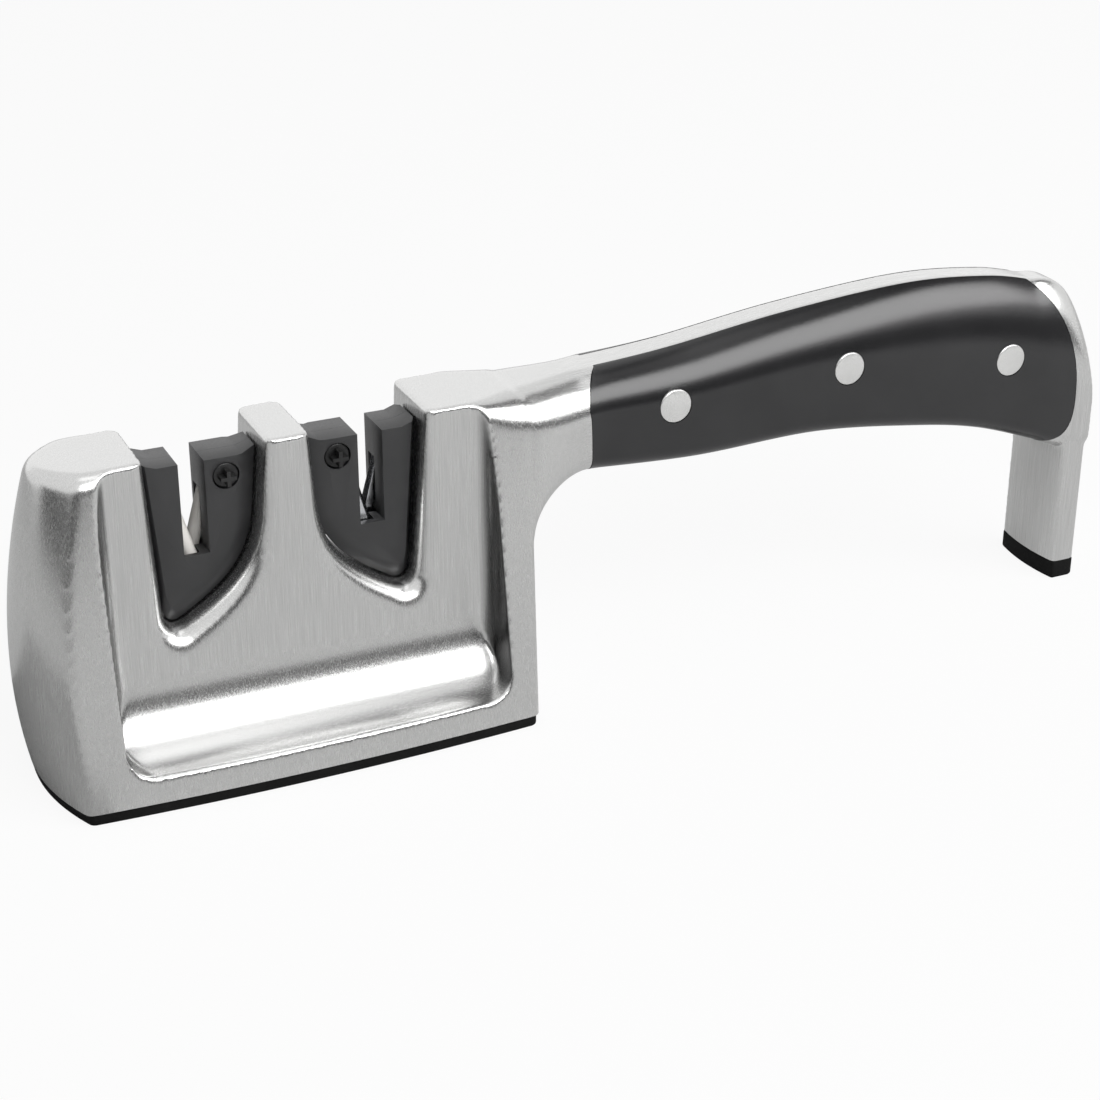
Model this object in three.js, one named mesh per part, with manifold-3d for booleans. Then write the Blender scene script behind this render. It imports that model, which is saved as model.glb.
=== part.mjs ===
// Two-stage pull-through knife sharpener: a cast metal body with a block-shaped head, a riveted grip and a
// leg, two plastic guide inserts that hold crossed ceramic rods and crossed carbide blades, and rubber feet.
// Millimetres, +Z up, +X from the head to the tail. The origin is under the middle of the base pad.
import * as THREE from 'three';
import { mergeVertices } from 'three/addons/utils/BufferGeometryUtils.js';
import Module from 'manifold-3d';

const wasm = await Module();
wasm.setup();

// Clearances
const SEAT_GAP = 0.3; // between a piece and the seat that is cut for it
const CUT_OVERRUN = 2; // how far a cutting solid runs past the face that it opens

// Head of the body
const HEAD_FREE_END = 49.4; // from the middle between the slots to the free end
const HEAD_NECK_END = 45.5; // from the middle between the slots to the neck's end
const HEAD_BASE_DEPTH = 43.6;
const HEAD_TOP_DEPTH = 23;
const HEAD_TOP_Z = 61;
const HEAD_TOP_RISE = 1.3; // rise of the top from the free end to the neck end
const HEAD_TOP_EDGE = 2.4; // radius of the rounded top edges
const HEAD_CORNER = 2.2;
const HEAD_SIDE_BOW = 1.5;
const FREE_BULGE = 6.6; // how far the free end bows out between its corners
const FOOT_TUCK = 1.9; // how much less it bows out at the foot
const FOOT_STEPS = 4;
const NECK_BULGE_BASE = 3.6;
const NECK_BULGE_TOP = 0.4;
const END_TUCK = 6; // how far the free end curves inwards at the top
const END_TUCK_START_Z = 22;

// Recessed web with a scooped sill, alike in front and behind
const WEB_THICKNESS = 17.6;
const RECESS_LENGTH = 72;
const RECESS_SHIFT = 1; // towards the neck
const RECESS_CORNER = 4.5; // between the web and the side walls
const RECESS_FOOT = 5; // between the sill and the side walls
const SCOOP_RADIUS = 11;
const SILL_Z = 7;

// Notches in the web, one for each stage, measured from the middle of its slot
const STAGE_PITCH = 32.6; // between the middles of the two slots
const NOTCH_INNER_TOP_RUN = 12.7; // to the side towards the middle of the head, at the top
const NOTCH_INNER_LOW_RUN = 10.9;
const NOTCH_SHOULDER_Z = 46;
const NOTCH_OUTER_TOP_RUN = 9.5;
const NOTCH_OUTER_LOW_RUN = 7.1;
const NOTCH_TIP_RUN = 4; // to the lowest point
const NOTCH_TIP_Z = 27.6;
const NOTCH_TIP_RADIUS = 2.4;
const NOTCH_TIP_TUCK = 0.6;
const NOTCH_BEND = 1.2; // how the curved side leaves the shoulder
const NOTCH_SWEEP = 9; // how the curved side runs into the tip
const NOTCH_SWEEP_RISE = 5;

// Hollow under the head and the plate that closes it
const CAVITY_LENGTH = 70;
const CAVITY_WIDTH = 12;
const CAVITY_TOP_Z = 22.5;
const PAD_THICKNESS = 2.4;
const PAD_INSET = 0.4;
const PLATE_THICKNESS = 1.5;
const PLATE_INSET = 2.2;
const BASE_SCREW_X = 39.5;
const BASE_SCREW_Y = 6.5;
const BASE_SCREW_LENGTH = 8;
const BASE_SCREW_HEAD = 4.4;
const BASE_SCREW_SHANK = 2.5;

// Grip: a bar that is lofted along X, with a scale let into each side
const GRIP_WIDTH = 19;
const GRIP_CROWN_SLOPE = THREE.MathUtils.degToRad(22); // slope of the scales next to the tang
const GRIP_LOWER_EDGE = 3.2;
const GRIP_EDGE_SHARE = 0.5; // most of the grip's height that a rounded edge takes
const GRIP_CROWN_SHARE = 0.46; // part of the grip's height over which the scales round over
const NECK_BLEND_X = 60; // where the neck has taken the grip's section
const NECK_ROOT = 3; // how far the grip bar reaches into the head
const NECK_TUCK = 0.5; // how far the neck's underside starts inside the head's end
const NECK_END_X = 57;
const NECK_FILLET = 11.5;
const TAIL_X = 170.8;
const TAIL_SQUARENESS = 2.5; // 2 turns the tail in a quarter ellipse, more makes it squarer
const GRIP_TOP = [
  [30, 61], [45, 61.4], [57, 62.2], [75, 63.6], [101, 67], [128, 68.9], [147, 67.6], [158, 65.2],
];
const GRIP_BOTTOM = [[57, 44], [80, 42.6], [106, 43], [129, 40.3], [144, 37.3], [158, 32.4]];
const TAIL_SHOULDER_Z = 41;
const TAIL_LOW_Z = 29;
const TANG_THICKNESS = 5.6;
const SCALE_START_X = 57.2;
const SCALE_END_BOW = 0.4;
const SCALE_TOE_RUN = 5; // the rounded upper corner at the scale's front end
const SCALE_TOE_BEND = 0.9;
const SCALE_TOE_DROP = 6.5;
const TAIL_BAND = 4.8; // metal left beyond the rounded end of a scale
const SCALE_HEEL_RUN = 14.4; // the scale's lower corner at the tail
const SCALE_HEEL_FLAT = 9.6;
const SCALE_HEEL_BEND = 2.4;
const SCALE_HEEL_LOW = 6.7;
const SCALE_HEEL_HIGH = 13.4;
const SCALE_CROWN_DROP = 15.4; // the scale's upper corner at the tail
const SCALE_CROWN_RUN = 21.1;
const RIVET_DIAMETER = 6.5;
const RIVET_PLACES = [[74.7, 54.4], [112, 55.8], [149.3, 51.6]];

// Leg and its rubber foot
const LEG_WIDTH = 18;
const LEG_THICKNESS = 5.6;
const LEG_CROWN = 1;
const LEG_CORNER = 1.6;
const FOOT_THICKNESS = 4;

// Guide inserts: a front and a rear cover each, with a slot for the knife
const INSERT_THICKNESS = 9;
const INSERT_TOP_Z = 57.5;
const INSERT_EAR_RISE = 1.2; // the top rises to its outer ends
const INSERT_EAR_RUN = 3.4;
const SLOT_WIDTH = 4.6;
const SLOT_BOTTOM_Z = 40;
const CLAMP_SCREW_RUN = 6.1; // from the middle of the slot towards the middle of the head
const CLAMP_SCREW_Z = 54;
const CLAMP_SCREW_HEAD = 4.6;
const CLAMP_SCREW_SHANK = 2.2;
const HOLD_SCREW_HEAD = 4.6;
const HOLD_SCREW_SHANK = 2.5;
const HOLD_SCREW_LENGTH = 11;

// Crossed abrasives: a front and a rear one in each insert, leaning opposite ways
const ABRASIVE_LEAN = THREE.MathUtils.degToRad(16);
const ABRASIVE_TOP_Z = 51.4;
const ABRASIVE_BOTTOM_Z = 35.5;
const EDGE_CROSS_Z = 41.6; // where the working edges cross in the middle of the slot
const ABRASIVE_SPACING = 3.6; // between the middles of the front and the rear one
const ROD_DIAMETER = 2.6;
const BLADE_THICKNESS = 1.8;
const BLADE_WIDTH = 3;

// Screws in general
const SCREW_HEAD_HEIGHT = 1.2;
const CROSS_LENGTH = 2.9;
const CROSS_WIDTH = 0.7;
const CROSS_DEPTH = 0.7;

// Fineness of the round forms
const ROUND_SIDES = 20;
const CURVE_STEPS = 6;
const SEARCH_STEPS = 40; // halvings when a curve's height is looked up
const SLAB_REACH = 400; // size of the plain blocks that keep one side of a solid

const METAL_BOTTOM_Z = PAD_THICKNESS;
const HEAD_LENGTH = HEAD_FREE_END + HEAD_NECK_END;
const GRIP_SIDE_Y = GRIP_WIDTH / 2;
const NECK_START_X = HEAD_NECK_END - NECK_TUCK;
const NECK_ROOT_X = NECK_START_X - NECK_ROOT;
const PLATE_TOP_Z = METAL_BOTTOM_Z + PLATE_THICKNESS;
const LEG_BOTTOM_Z = FOOT_THICKNESS;
const SLOT_REACH = STAGE_PITCH / 2; // from the middle of the head, as the next six are
const NOTCH_INNER_TOP = SLOT_REACH - NOTCH_INNER_TOP_RUN;
const NOTCH_INNER_LOW = SLOT_REACH - NOTCH_INNER_LOW_RUN;
const NOTCH_OUTER_TOP = SLOT_REACH + NOTCH_OUTER_TOP_RUN;
const NOTCH_OUTER_LOW = SLOT_REACH + NOTCH_OUTER_LOW_RUN;
const NOTCH_TIP_REACH = SLOT_REACH + NOTCH_TIP_RUN;
const CLAMP_SCREW_REACH = SLOT_REACH - CLAMP_SCREW_RUN;
const ABRASIVE_LENGTH = (ABRASIVE_TOP_Z - ABRASIVE_BOTTOM_Z) / Math.cos(ABRASIVE_LEAN);
const NOTCH_TOP_Z = HEAD_TOP_Z + HEAD_TOP_RISE + CUT_OVERRUN;

const steel = { color: 0xb9babc, roughness: 0.32, metalness: 1 };
const blackPlastic = { color: 0x1b1b1c, roughness: 0.45, metalness: 0 };
const scalePlastic = { color: 0x1d1d1e, roughness: 0.3, metalness: 0 };
const rubber = { color: 0x0c0c0c, roughness: 0.85, metalness: 0 };
const polishedSteel = { color: 0xe2e2e2, roughness: 0.22, metalness: 1 };
const blackSteel = { color: 0x161616, roughness: 0.4, metalness: 0.8 };
const carbide = { color: 0xa9adb2, roughness: 0.25, metalness: 1 };
const ceramic = { color: 0xe6e4de, roughness: 0.55, metalness: 0 };

const model = new THREE.Group();

// Adds a closed geometry to the model as a named piece.
function addPiece(name, geometry, finish) {
  const mesh = new THREE.Mesh(geometry, new THREE.MeshStandardMaterial(finish));
  mesh.name = name;
  model.add(mesh);
}

// Turns a closed three.js geometry into a solid that can be cut and joined.
function toSolid(geometry) {
  const bare = geometry.clone();
  bare.deleteAttribute('normal');
  bare.deleteAttribute('uv');
  const merged = mergeVertices(bare, 1e-4);
  const vertProperties = new Float32Array(merged.attributes.position.array);
  const triVerts = new Uint32Array(merged.index.array);
  return new wasm.Manifold(new wasm.Mesh({ numProp: 3, vertProperties, triVerts }));
}

// Turns a solid back into a three.js geometry.
function toGeometry(solid) {
  const mesh = solid.getMesh();
  const geometry = new THREE.BufferGeometry();
  geometry.setAttribute('position', new THREE.BufferAttribute(mesh.vertProperties, 3));
  geometry.setIndex(new THREE.BufferAttribute(mesh.triVerts, 1));
  geometry.computeVertexNormals();
  return geometry;
}

// Removes each of the given solids from a solid.
function cut(solid, cutters) {
  return cutters.reduce((rest, cutter) => rest.subtract(cutter), solid);
}

// A block between two corners.
function block(x0, y0, z0, x1, y1, z1) {
  const geometry = new THREE.BoxGeometry(x1 - x0, y1 - y0, z1 - z0);
  geometry.translate((x0 + x1) / 2, (y0 + y1) / 2, (z0 + z1) / 2);
  return toSolid(geometry);
}

// A side outline, drawn in X and Z, given a thickness from y0 to y1.
function sideSolid(shape, y0, y1) {
  const geometry = new THREE.ExtrudeGeometry(shape, {
    depth: y1 - y0, bevelEnabled: false, curveSegments: CURVE_STEPS,
  });
  geometry.rotateX(Math.PI / 2);
  geometry.translate(0, y1, 0);
  return toSolid(geometry);
}

// A plan outline, drawn in X and Y, given a height from z0 to z1.
function planSolid(shape, z0, z1) {
  const geometry = new THREE.ExtrudeGeometry(shape, {
    depth: z1 - z0, bevelEnabled: false, curveSegments: CURVE_STEPS,
  });
  geometry.translate(0, 0, z0);
  return toSolid(geometry);
}

// A closed solid through rings with equally many points, given in order along the solid.
function loftSolid(rings) {
  const count = rings[0].length;
  const middles = [rings[0], rings[rings.length - 1]].map((ring) => {
    const sum = ring.reduce((total, point) => total.add(point), new THREE.Vector3());
    return sum.divideScalar(count);
  });
  const points = [...rings.flat(), ...middles];
  const last = (rings.length - 1) * count;
  const index = [];
  for (let i = 0; i < count; i += 1) {
    const j = (i + 1) % count;
    for (let row = 0; row < last; row += count) {
      index.push(row + i, row + j, row + count + j, row + i, row + count + j, row + count + i);
    }
    index.push(points.length - 2, j, i, points.length - 1, last + i, last + j);
  }
  const geometry = new THREE.BufferGeometry().setFromPoints(points);
  geometry.setIndex(index);
  return toSolid(geometry);
}

// A round bar along Z or Y, from a start point.
function roundBar(axis, diameter, x, y, z, length) {
  const geometry = new THREE.CylinderGeometry(diameter / 2, diameter / 2, length, ROUND_SIDES);
  geometry.translate(0, length / 2, 0);
  if (axis === 'z') {
    geometry.rotateX(Math.PI / 2);
  }
  geometry.translate(x, y, z);
  return toSolid(geometry);
}

// A cross-head screw that points along +Z from the top of its head at the origin.
function screwSolid(headDiameter, shankDiameter, length) {
  const profile = [
    new THREE.Vector2(0, 0),
    new THREE.Vector2(headDiameter / 2, 0),
    new THREE.Vector2(headDiameter / 2, SCREW_HEAD_HEIGHT),
    new THREE.Vector2(shankDiameter / 2, SCREW_HEAD_HEIGHT),
    new THREE.Vector2(shankDiameter / 2, length),
    new THREE.Vector2(0, length),
  ];
  const geometry = new THREE.LatheGeometry(profile, ROUND_SIDES);
  geometry.rotateX(Math.PI / 2);
  const arm = CROSS_LENGTH / 2;
  const half = CROSS_WIDTH / 2;
  return cut(toSolid(geometry), [
    block(-arm, -half, -CUT_OVERRUN, arm, half, CROSS_DEPTH),
    block(-half, -arm, -CUT_OVERRUN, half, arm, CROSS_DEPTH),
  ]);
}

// The plan outline of the head between its two ends, with bowed sides and bulged ends.
function headPlan(left, right, halfDepth, freeBulge, neckBulge) {
  const corner = HEAD_CORNER;
  const cornerLeft = left + freeBulge;
  const cornerRight = right - neckBulge;
  const cornerY = halfDepth - HEAD_SIDE_BOW;
  const bowY = halfDepth + HEAD_SIDE_BOW;
  const middle = (left + right) / 2;
  const shape = new THREE.Shape();
  shape.moveTo(cornerLeft + corner, -cornerY);
  shape.quadraticCurveTo(middle, -bowY, cornerRight - corner, -cornerY);
  shape.quadraticCurveTo(cornerRight, -cornerY, cornerRight, corner - cornerY);
  shape.quadraticCurveTo(right + neckBulge, 0, cornerRight, cornerY - corner);
  shape.quadraticCurveTo(cornerRight, cornerY, cornerRight - corner, cornerY);
  shape.quadraticCurveTo(middle, bowY, cornerLeft + corner, cornerY);
  shape.quadraticCurveTo(cornerLeft, cornerY, cornerLeft, cornerY - corner);
  shape.quadraticCurveTo(left - freeBulge, 0, cornerLeft, corner - cornerY);
  shape.quadraticCurveTo(cornerLeft, -cornerY, cornerLeft + corner, -cornerY);
  return shape;
}

// The head's base outline, drawn in by an inset.
function basePlan(inset) {
  const halfDepth = HEAD_BASE_DEPTH / 2 - inset;
  const left = inset + FOOT_TUCK - HEAD_FREE_END;
  return headPlan(left, HEAD_NECK_END - inset, halfDepth, FREE_BULGE - FOOT_TUCK, NECK_BULGE_BASE);
}

// One level of the head: its outline at a height, drawn in by an inset near the top edge.
function headRing(z, inset) {
  const share = (z - METAL_BOTTOM_Z) / (HEAD_TOP_Z - METAL_BOTTOM_Z);
  const above = Math.max(0, z - END_TUCK_START_Z) / (HEAD_TOP_Z - END_TUCK_START_Z);
  const below = Math.max(0, END_TUCK_START_Z - z) / (END_TUCK_START_Z - METAL_BOTTOM_Z);
  const footTuck = FOOT_TUCK * below ** 2;
  const left = END_TUCK * above ** 2 + footTuck + inset - HEAD_FREE_END;
  const halfDepth = THREE.MathUtils.lerp(HEAD_BASE_DEPTH, HEAD_TOP_DEPTH, share) / 2 - inset;
  const neckBulge = THREE.MathUtils.lerp(NECK_BULGE_BASE, NECK_BULGE_TOP, share);
  const outline = headPlan(left, HEAD_NECK_END - inset, halfDepth, FREE_BULGE - footTuck, neckBulge);
  const points = outline.getPoints(CURVE_STEPS).slice(0, -1);
  return points.map(({ x, y }) => new THREE.Vector3(x, y, z + HEAD_TOP_RISE * share * x / HEAD_LENGTH));
}

// The solid head with its rounded top edges, before it is cut.
function headBlock() {
  const rings = [];
  const sideTop = HEAD_TOP_Z - HEAD_TOP_EDGE;
  for (let i = 0; i < FOOT_STEPS; i += 1) {
    rings.push(headRing(THREE.MathUtils.lerp(METAL_BOTTOM_Z, END_TUCK_START_Z, i / FOOT_STEPS), 0));
  }
  for (let i = 0; i < CURVE_STEPS; i += 1) {
    rings.push(headRing(THREE.MathUtils.lerp(END_TUCK_START_Z, sideTop, i / CURVE_STEPS), 0));
  }
  for (let i = 0; i <= CURVE_STEPS; i += 1) {
    const angle = (Math.PI / 2) * (i / CURVE_STEPS);
    rings.push(headRing(sideTop + HEAD_TOP_EDGE * Math.sin(angle), HEAD_TOP_EDGE * (1 - Math.cos(angle))));
  }
  return loftSolid(rings);
}

// What is scooped out of the front of the head, in front of the web.
function frontRecess() {
  const webY = -WEB_THICKNESS / 2;
  const outY = -HEAD_BASE_DEPTH / 2 - CUT_OVERRUN;
  const topZ = HEAD_TOP_Z + HEAD_TOP_RISE + CUT_OVERRUN;
  const scoopZ = SILL_Z + SCOOP_RADIUS;
  const profile = new THREE.Shape();
  profile.moveTo(webY, topZ);
  profile.lineTo(outY, topZ);
  profile.lineTo(outY, SILL_Z);
  profile.lineTo(webY - SCOOP_RADIUS, SILL_Z);
  profile.absarc(webY - SCOOP_RADIUS, scoopZ, SCOOP_RADIUS, -Math.PI / 2, 0, false);
  const geometry = new THREE.ExtrudeGeometry(profile, {
    depth: RECESS_LENGTH, bevelEnabled: false, curveSegments: 2 * CURVE_STEPS,
  });
  geometry.rotateX(Math.PI / 2);
  geometry.rotateZ(Math.PI / 2);
  geometry.translate(-RECESS_LENGTH / 2, 0, 0);
  const half = RECESS_LENGTH / 2;
  const plan = new THREE.Shape();
  plan.moveTo(-half, outY);
  plan.lineTo(half, outY);
  plan.lineTo(half, webY - RECESS_CORNER);
  plan.absarc(half - RECESS_CORNER, webY - RECESS_CORNER, RECESS_CORNER, 0, Math.PI / 2, false);
  plan.absarc(RECESS_CORNER - half, webY - RECESS_CORNER, RECESS_CORNER, Math.PI / 2, Math.PI, false);
  const footZ = SILL_Z + RECESS_FOOT;
  const front = new THREE.Shape();
  front.moveTo(-half, topZ);
  front.lineTo(-half, footZ);
  front.absarc(RECESS_FOOT - half, footZ, RECESS_FOOT, Math.PI, 1.5 * Math.PI, false);
  front.absarc(half - RECESS_FOOT, footZ, RECESS_FOOT, 1.5 * Math.PI, 2 * Math.PI, false);
  front.lineTo(half, topZ);
  const recess = toSolid(geometry).intersect(planSolid(plan, 0, topZ)).intersect(sideSolid(front, outY, 0));
  return recess.translate([RECESS_SHIFT, 0, 0]);
}

// The side outline of a notch on the +X side, drawn in by a gap on every side.
function notchOutline(gap) {
  const tipZ = NOTCH_TIP_Z + gap;
  const outerLow = NOTCH_OUTER_LOW - gap;
  const shape = new THREE.Shape();
  shape.moveTo(NOTCH_INNER_TOP + gap, NOTCH_TOP_Z);
  shape.lineTo(NOTCH_INNER_LOW + gap, NOTCH_SHOULDER_Z);
  const bendZ = (NOTCH_SHOULDER_Z + tipZ) / 2;
  shape.bezierCurveTo(NOTCH_INNER_LOW + NOTCH_BEND + gap, bendZ,
    NOTCH_TIP_REACH - NOTCH_SWEEP + gap, tipZ + NOTCH_SWEEP_RISE, NOTCH_TIP_REACH, tipZ);
  shape.quadraticCurveTo(outerLow - NOTCH_TIP_TUCK, tipZ - NOTCH_TIP_TUCK, outerLow, tipZ + NOTCH_TIP_RADIUS);
  shape.lineTo(NOTCH_OUTER_TOP - gap, NOTCH_TOP_Z);
  return shape;
}

// Mirrors a solid in the plane across the middle of the head.
function mirrorX(solid) {
  return solid.mirror([1, 0, 0]);
}

// The height of a smooth curve through the given points at a place along X.
function heightOn(points, x) {
  const curve = new THREE.SplineCurve(points.map(([px, pz]) => new THREE.Vector2(px, pz)));
  let low = 0;
  let high = 1;
  for (let i = 0; i < SEARCH_STEPS; i += 1) {
    const middle = (low + high) / 2;
    if (curve.getPoint(middle).x < x) {
      low = middle;
    } else {
      high = middle;
    }
  }
  return curve.getPoint(low).y;
}

// The top and bottom of the grip bar at a place along X.
function gripSpan(x) {
  const tailStart = GRIP_TOP[GRIP_TOP.length - 1][0];
  const turn = Math.max(0, x - tailStart) / (TAIL_X - tailStart);
  const round = Math.max(0, 1 - turn ** TAIL_SQUARENESS) ** (1 / TAIL_SQUARENESS);
  const topEnd = GRIP_TOP[GRIP_TOP.length - 1][1];
  const lowEnd = GRIP_BOTTOM[GRIP_BOTTOM.length - 1][1];
  const top = turn > 0 ? TAIL_SHOULDER_Z + (topEnd - TAIL_SHOULDER_Z) * round : heightOn(GRIP_TOP, x);
  if (x < NECK_END_X) {
    const along = Math.min(NECK_FILLET, NECK_END_X - x);
    const drop = NECK_FILLET - Math.sqrt(NECK_FILLET ** 2 - along ** 2);
    return [top, GRIP_BOTTOM[0][1] - drop];
  }
  const bottom = turn > 0 ? TAIL_LOW_Z + (lowEnd - TAIL_LOW_Z) * (1 - turn) ** 2 : heightOn(GRIP_BOTTOM, x);
  return [top, bottom];
}

// How far the head's side stands out at the neck's end, and how far its end is bowed, which the neck starts with.
function neckStart(z) {
  const share = (z - METAL_BOTTOM_Z) / (HEAD_TOP_Z - METAL_BOTTOM_Z);
  const sideY = THREE.MathUtils.lerp(HEAD_BASE_DEPTH, HEAD_TOP_DEPTH, share) / 2 - HEAD_SIDE_BOW;
  return [sideY, THREE.MathUtils.lerp(NECK_BULGE_BASE, NECK_BULGE_TOP, share)];
}

// One section of the grip bar: flat over the tang, from there rounded over to the sides, and rounded below.
function gripRing(x) {
  const [top, bottom] = gripSpan(x);
  const blend = THREE.MathUtils.smoothstep(x, NECK_START_X, NECK_BLEND_X);
  const half = GRIP_SIDE_Y;
  const slope = GRIP_CROWN_SLOPE * blend;
  const most = (top - bottom) * GRIP_EDGE_SHARE;
  const flat = THREE.MathUtils.lerp(half - HEAD_TOP_EDGE, TANG_THICKNESS / 2, blend);
  const upper = Math.min((half - flat) / (1 - Math.sin(slope)), most);
  const lower = Math.min(GRIP_LOWER_EDGE, most);
  const rise = upper * Math.cos(slope);
  const stretch = THREE.MathUtils.lerp(1, (top - bottom) * GRIP_CROWN_SHARE / rise, blend);
  const upperZ = top - rise * stretch;
  const corners = [
    [half - upper, upperZ, upper, upper * stretch, 0, Math.PI / 2 - slope],
    [upper - half, upperZ, upper, upper * stretch, Math.PI / 2 + slope, Math.PI],
    [lower - half, bottom + lower, lower, lower, Math.PI, 1.5 * Math.PI],
    [half - lower, bottom + lower, lower, lower, 1.5 * Math.PI, 2 * Math.PI],
  ];
  return corners.flatMap(([centreY, centreZ, edge, height, from, to]) => {
    return Array.from({ length: CURVE_STEPS + 1 }, (_, i) => {
      const angle = THREE.MathUtils.lerp(from, to, i / CURVE_STEPS);
      const z = centreZ + height * Math.sin(angle);
      const [sideY, bulge] = neckStart(z);
      const y = (centreY + edge * Math.cos(angle)) * THREE.MathUtils.lerp(sideY / half, 1, blend);
      return new THREE.Vector3(x - bulge * (1 - blend) * (y / sideY) ** 2, y, z);
    });
  });
}

// The whole grip bar from the root of the neck to the tail, before it is cut.
function gripBar() {
  const places = [NECK_ROOT_X];
  const neckSteps = 2 * CURVE_STEPS;
  for (let i = 0; i < neckSteps; i += 1) {
    const angle = (Math.PI / 2) * (i / neckSteps);
    places.push(NECK_START_X + (NECK_END_X - NECK_START_X) * (1 - Math.cos(angle)));
  }
  const tailStart = GRIP_TOP[GRIP_TOP.length - 1][0];
  const gripSteps = 4 * CURVE_STEPS;
  for (let i = 0; i < gripSteps; i += 1) {
    places.push(THREE.MathUtils.lerp(NECK_END_X, tailStart, i / gripSteps));
  }
  for (let i = 0; i <= neckSteps; i += 1) {
    places.push(tailStart + (TAIL_X - tailStart) * Math.sin((Math.PI / 2) * (i / neckSteps)));
  }
  return loftSolid(places.map(gripRing));
}

// The side outline that bounds a scale, which the grip bar's own surface trims above and below.
function scaleOutline(grow) {
  const start = SCALE_START_X - grow;
  const end = TAIL_X - TAIL_BAND + grow;
  const highZ = Math.max(...GRIP_TOP.map(([, z]) => z)) + CUT_OVERRUN;
  const lowZ = TAIL_LOW_Z - CUT_OVERRUN;
  const heelZ = lowZ + TAIL_BAND;
  const middleZ = (GRIP_TOP[1][1] + GRIP_BOTTOM[0][1]) / 2;
  const shape = new THREE.Shape();
  const toeX = start + SCALE_TOE_RUN;
  const toeZ = heightOn(GRIP_TOP, toeX) + grow;
  shape.moveTo(toeX, highZ);
  shape.lineTo(toeX, toeZ);
  shape.quadraticCurveTo(start + SCALE_TOE_BEND, toeZ, start, toeZ - SCALE_TOE_DROP);
  shape.quadraticCurveTo(start + 2 * SCALE_END_BOW, middleZ, start, lowZ);
  shape.lineTo(end - SCALE_HEEL_RUN, lowZ);
  shape.lineTo(end - SCALE_HEEL_FLAT, heelZ);
  shape.bezierCurveTo(end - SCALE_HEEL_BEND, heelZ, end, lowZ + SCALE_HEEL_LOW, end, lowZ + SCALE_HEEL_HIGH);
  shape.bezierCurveTo(end, highZ - SCALE_CROWN_DROP, end - TAIL_BAND, highZ - TAIL_BAND,
    end - SCALE_CROWN_RUN, highZ);
  return shape;
}

// The plan outline of the leg, with a crowned side towards the head.
function legPlan() {
  const inner = TAIL_X - LEG_THICKNESS;
  const half = LEG_WIDTH / 2;
  const shape = new THREE.Shape();
  shape.moveTo(inner, -half);
  shape.lineTo(TAIL_X - LEG_CORNER, -half);
  shape.absarc(TAIL_X - LEG_CORNER, LEG_CORNER - half, LEG_CORNER, -Math.PI / 2, 0, false);
  shape.absarc(TAIL_X - LEG_CORNER, half - LEG_CORNER, LEG_CORNER, 0, Math.PI / 2, false);
  shape.lineTo(inner, half);
  shape.quadraticCurveTo(inner - 2 * LEG_CROWN, 0, inner, -half);
  return shape;
}

// One side's scale, or the pocket that takes it when it is grown by a gap.
function scaleSolid(bar, side, grow) {
  const innerY = TANG_THICKNESS / 2 + SEAT_GAP - grow;
  const outerY = GRIP_SIDE_Y + CUT_OVERRUN;
  const outline = scaleOutline(grow);
  const slab = side < 0 ? sideSolid(outline, -outerY, -innerY) : sideSolid(outline, innerY, outerY);
  return grow > 0 ? slab : slab.intersect(bar);
}

// The places of the screws under the base plate.
function baseScrewPlaces() {
  return [-1, 1].flatMap((sx) => [-1, 1].map((sy) => [sx * BASE_SCREW_X, sy * BASE_SCREW_Y]));
}

// Leans an upright rod or blade and puts it in its stage: the rear one leans to +X, the front one to -X.
function placeAbrasive(geometry, width, stageX, face) {
  const middleZ = (ABRASIVE_TOP_Z + ABRASIVE_BOTTOM_Z) / 2;
  const axisCrossZ = EDGE_CROSS_Z - width / 2 / Math.sin(ABRASIVE_LEAN);
  const offset = Math.tan(ABRASIVE_LEAN) * (middleZ - axisCrossZ);
  geometry.rotateY(face * ABRASIVE_LEAN);
  geometry.translate(stageX + face * offset, face * ABRASIVE_SPACING / 2, middleZ);
  return geometry;
}

// The groove for one rod or blade, open towards the parting face of the covers.
function abrasiveGroove(width, depth, stageX, face) {
  const outside = depth / 2 + SEAT_GAP;
  const inside = ABRASIVE_SPACING / 2;
  const wide = width + 2 * SEAT_GAP;
  const long = ABRASIVE_LENGTH + 2 * SEAT_GAP;
  const geometry = new THREE.BoxGeometry(wide, inside + outside, long);
  geometry.translate(0, face * (outside - inside) / 2, 0);
  return toSolid(placeAbrasive(geometry, width, stageX, face));
}

// The outline of an insert on the +X side: the notch drawn in, with a shallow dished top.
function insertOutline() {
  const ear = INSERT_TOP_Z + INSERT_EAR_RISE;
  const solid = sideSolid(notchOutline(SEAT_GAP), -INSERT_THICKNESS / 2, INSERT_THICKNESS / 2);
  const inner = NOTCH_INNER_TOP;
  const outer = NOTCH_OUTER_TOP;
  const overTop = NOTCH_TOP_Z + CUT_OVERRUN;
  const dish = new THREE.Shape();
  dish.moveTo(inner, ear);
  dish.lineTo(inner + INSERT_EAR_RUN, INSERT_TOP_Z);
  dish.lineTo(outer - INSERT_EAR_RUN, INSERT_TOP_Z);
  dish.lineTo(outer, ear);
  dish.lineTo(outer, overTop);
  dish.lineTo(inner, overTop);
  const slot = block(SLOT_REACH - SLOT_WIDTH / 2, -INSERT_THICKNESS, SLOT_BOTTOM_Z,
    SLOT_REACH + SLOT_WIDTH / 2, INSERT_THICKNESS, overTop);
  return cut(solid, [sideSolid(dish, -INSERT_THICKNESS, INSERT_THICKNESS), slot]);
}

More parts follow.
